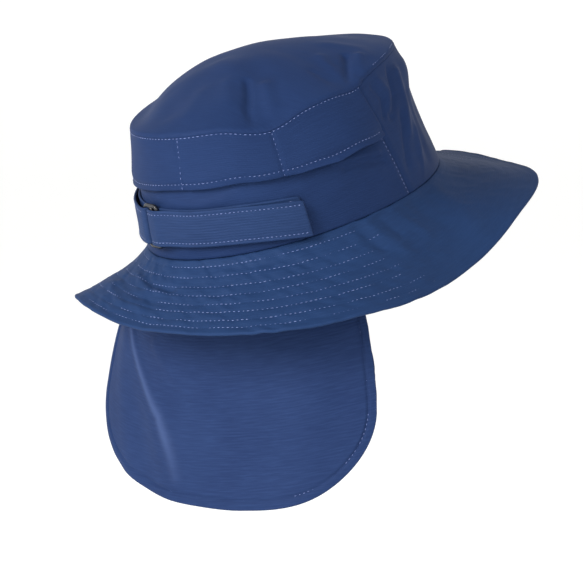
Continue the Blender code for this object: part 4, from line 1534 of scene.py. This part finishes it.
def soft_light(name, place, wide, power, colour):
    data = bpy.data.lights.new(name, "AREA")
    data.shape = "DISK"
    data.size = wide
    data.energy = power
    data.color = colour
    made = put_in_scene(name, data)
    made.location = place
    made.rotation_mode = "QUATERNION"
    made.rotation_quaternion = (-Vector(place)).to_track_quat("-Z", "Y")


def make_lights():
    """A sky that is brighter near the horizon, and the disk lights."""
    world = bpy.data.worlds.new("studio")
    world.use_nodes = True
    tree = world.node_tree
    sky = tree.nodes["Background"]
    way = node(tree, "ShaderNodeSeparateXYZ", {0: node(tree, "ShaderNodeTexCoord").outputs["Generated"]})
    strength = node(
        tree, "ShaderNodeMapRange",
        {"Value": way.outputs["Z"], "From Min": 0.0, "From Max": SKY_HIGH_FROM,
         "To Min": SKY_LOW, "To Max": SKY_HIGH},
    )
    sky.inputs["Color"].default_value = linear("#FFFFFF")
    tree.links.new(strength.outputs["Result"], sky.inputs["Strength"])
    bpy.context.scene.world = world
    for row in table(LIGHT_COLUMNS, LIGHT_ROWS):
        soft_light(row["light"], row["place"], row["wide"], row["power"], row["colour"])


def make_camera():
    """The photograph's view, turned down to centre the hat."""
    turn, rise = math.radians(CAMERA_TURN), math.radians(CAMERA_RISE)
    back = Vector((math.sin(turn) * math.cos(rise), -math.cos(turn) * math.cos(rise), math.sin(rise)))
    right = Vector((math.cos(turn), math.sin(turn), 0.0))
    up = back.cross(right)
    pixel = MM / PIXELS_PER_MM
    aim = right * (AIM_RIGHT * pixel) + up * (AIM_UP * pixel)
    data = bpy.data.cameras.new("photo_camera")
    data.sensor_width = SENSOR_WIDE
    data.lens = SENSOR_WIDE * PIXELS_PER_MM * CAMERA_AWAY / MM / PHOTO_SIDE
    data.clip_start, data.clip_end = 0.05, 50.0
    made = put_in_scene("photo_camera", data)
    made.location = back * CAMERA_AWAY
    made.rotation_mode = "QUATERNION"
    made.rotation_quaternion = (aim - made.location).to_track_quat("-Z", "Y")
    bpy.context.scene.camera = made


def settle(piece, slot, *nodes):
    """The piece moves with the frame and stands for its solids, which are hidden. The slot is not used."""
    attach(piece, "root")
    if nodes:
        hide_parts(*nodes)


def dress_crown(shell):
    settle(make_top(shell), "shell_cloth", "crown_top")
    back = make_wall("back_panel", lambda s: -side_seam(s), side_seam, BACK_STEPS, shell)
    settle(back, "shell_cloth", "crown_back_panel")
    front = make_wall("front_panel", side_seam, lambda s: 360 - side_seam(s), FRONT_STEPS, shell)
    settle(front, "shell_cloth", "crown_front_panel")
    settle(make_vent(shell), "shell_cloth", "vent_flap")


def dress():
    """Every solid's cloth or moulding, then all the stitching."""
    shell = nylon("navy nylon shell", "#132344", "#1A2C50", "#253B64", bends_light=1.16)
    sewn = nylon("navy nylon brim", "#152848", "#1D3256", "#29426A", bends_light=1.16)
    strap = nylon(
        "navy nylon strap", "#162748", "#1D3155", "#2B4069", streaky=0.16, rib=STRAP_RIB, rib_deep=0.25,
    )
    flap = nylon(
        "navy nylon neck flap", "#182647", "#203053", "#2C4067", streaky=0.20, rib=FLAP_RIB, rib_deep=0.18,
        bends_light=1.12,
    )
    tree = sewing_tree(thread_look())

    dress_crown(shell)
    settle(make_brim(sewn), "shell_cloth", "brim")
    settle(make_band("strap_cloth", strap_cloth, len(STRAP_ROUTE), strap), "strap_cloth", "size_strap")
    settle(make_band("tab_cloth", tab_cloth, len(TAB_ROUTE), strap), "strap_cloth", "ring_tab")
    settle(make_ring(ring_look()), "ring_plastic", "strap_ring")
    neck = make_neck_flap(flap)
    settle(neck, "flap_cloth", "neck_flap")

    stitching = (
        ("brim_stitches", brim_rows, SEAM_PITCH, "shell_cloth"),
        ("under_brim_stitches", under_brim_rows, SEAM_PITCH, "shell_cloth"),
        ("crown_stitches", crown_rows, SEAM_PITCH, "shell_cloth"),
        ("vent_stitches", vent_rows, SEAM_PITCH, "shell_cloth"),
        ("strap_stitches", strap_rows, STRAP_PITCH, "strap_cloth"),
        ("tab_stitches", tab_rows, STRAP_PITCH, "strap_cloth"),
        ("flap_stitches", flap_hem_row, SEAM_PITCH, "flap_cloth"),
    )
    made = {}
    for name, rows, pitch, slot in stitching:
        made[name] = sew(name, rows(), tree, pitch)
        settle(made[name], slot)


make_camera()
make_lights()
make_stage()
bpy.context.scene.view_settings.view_transform = "Standard"
dress()
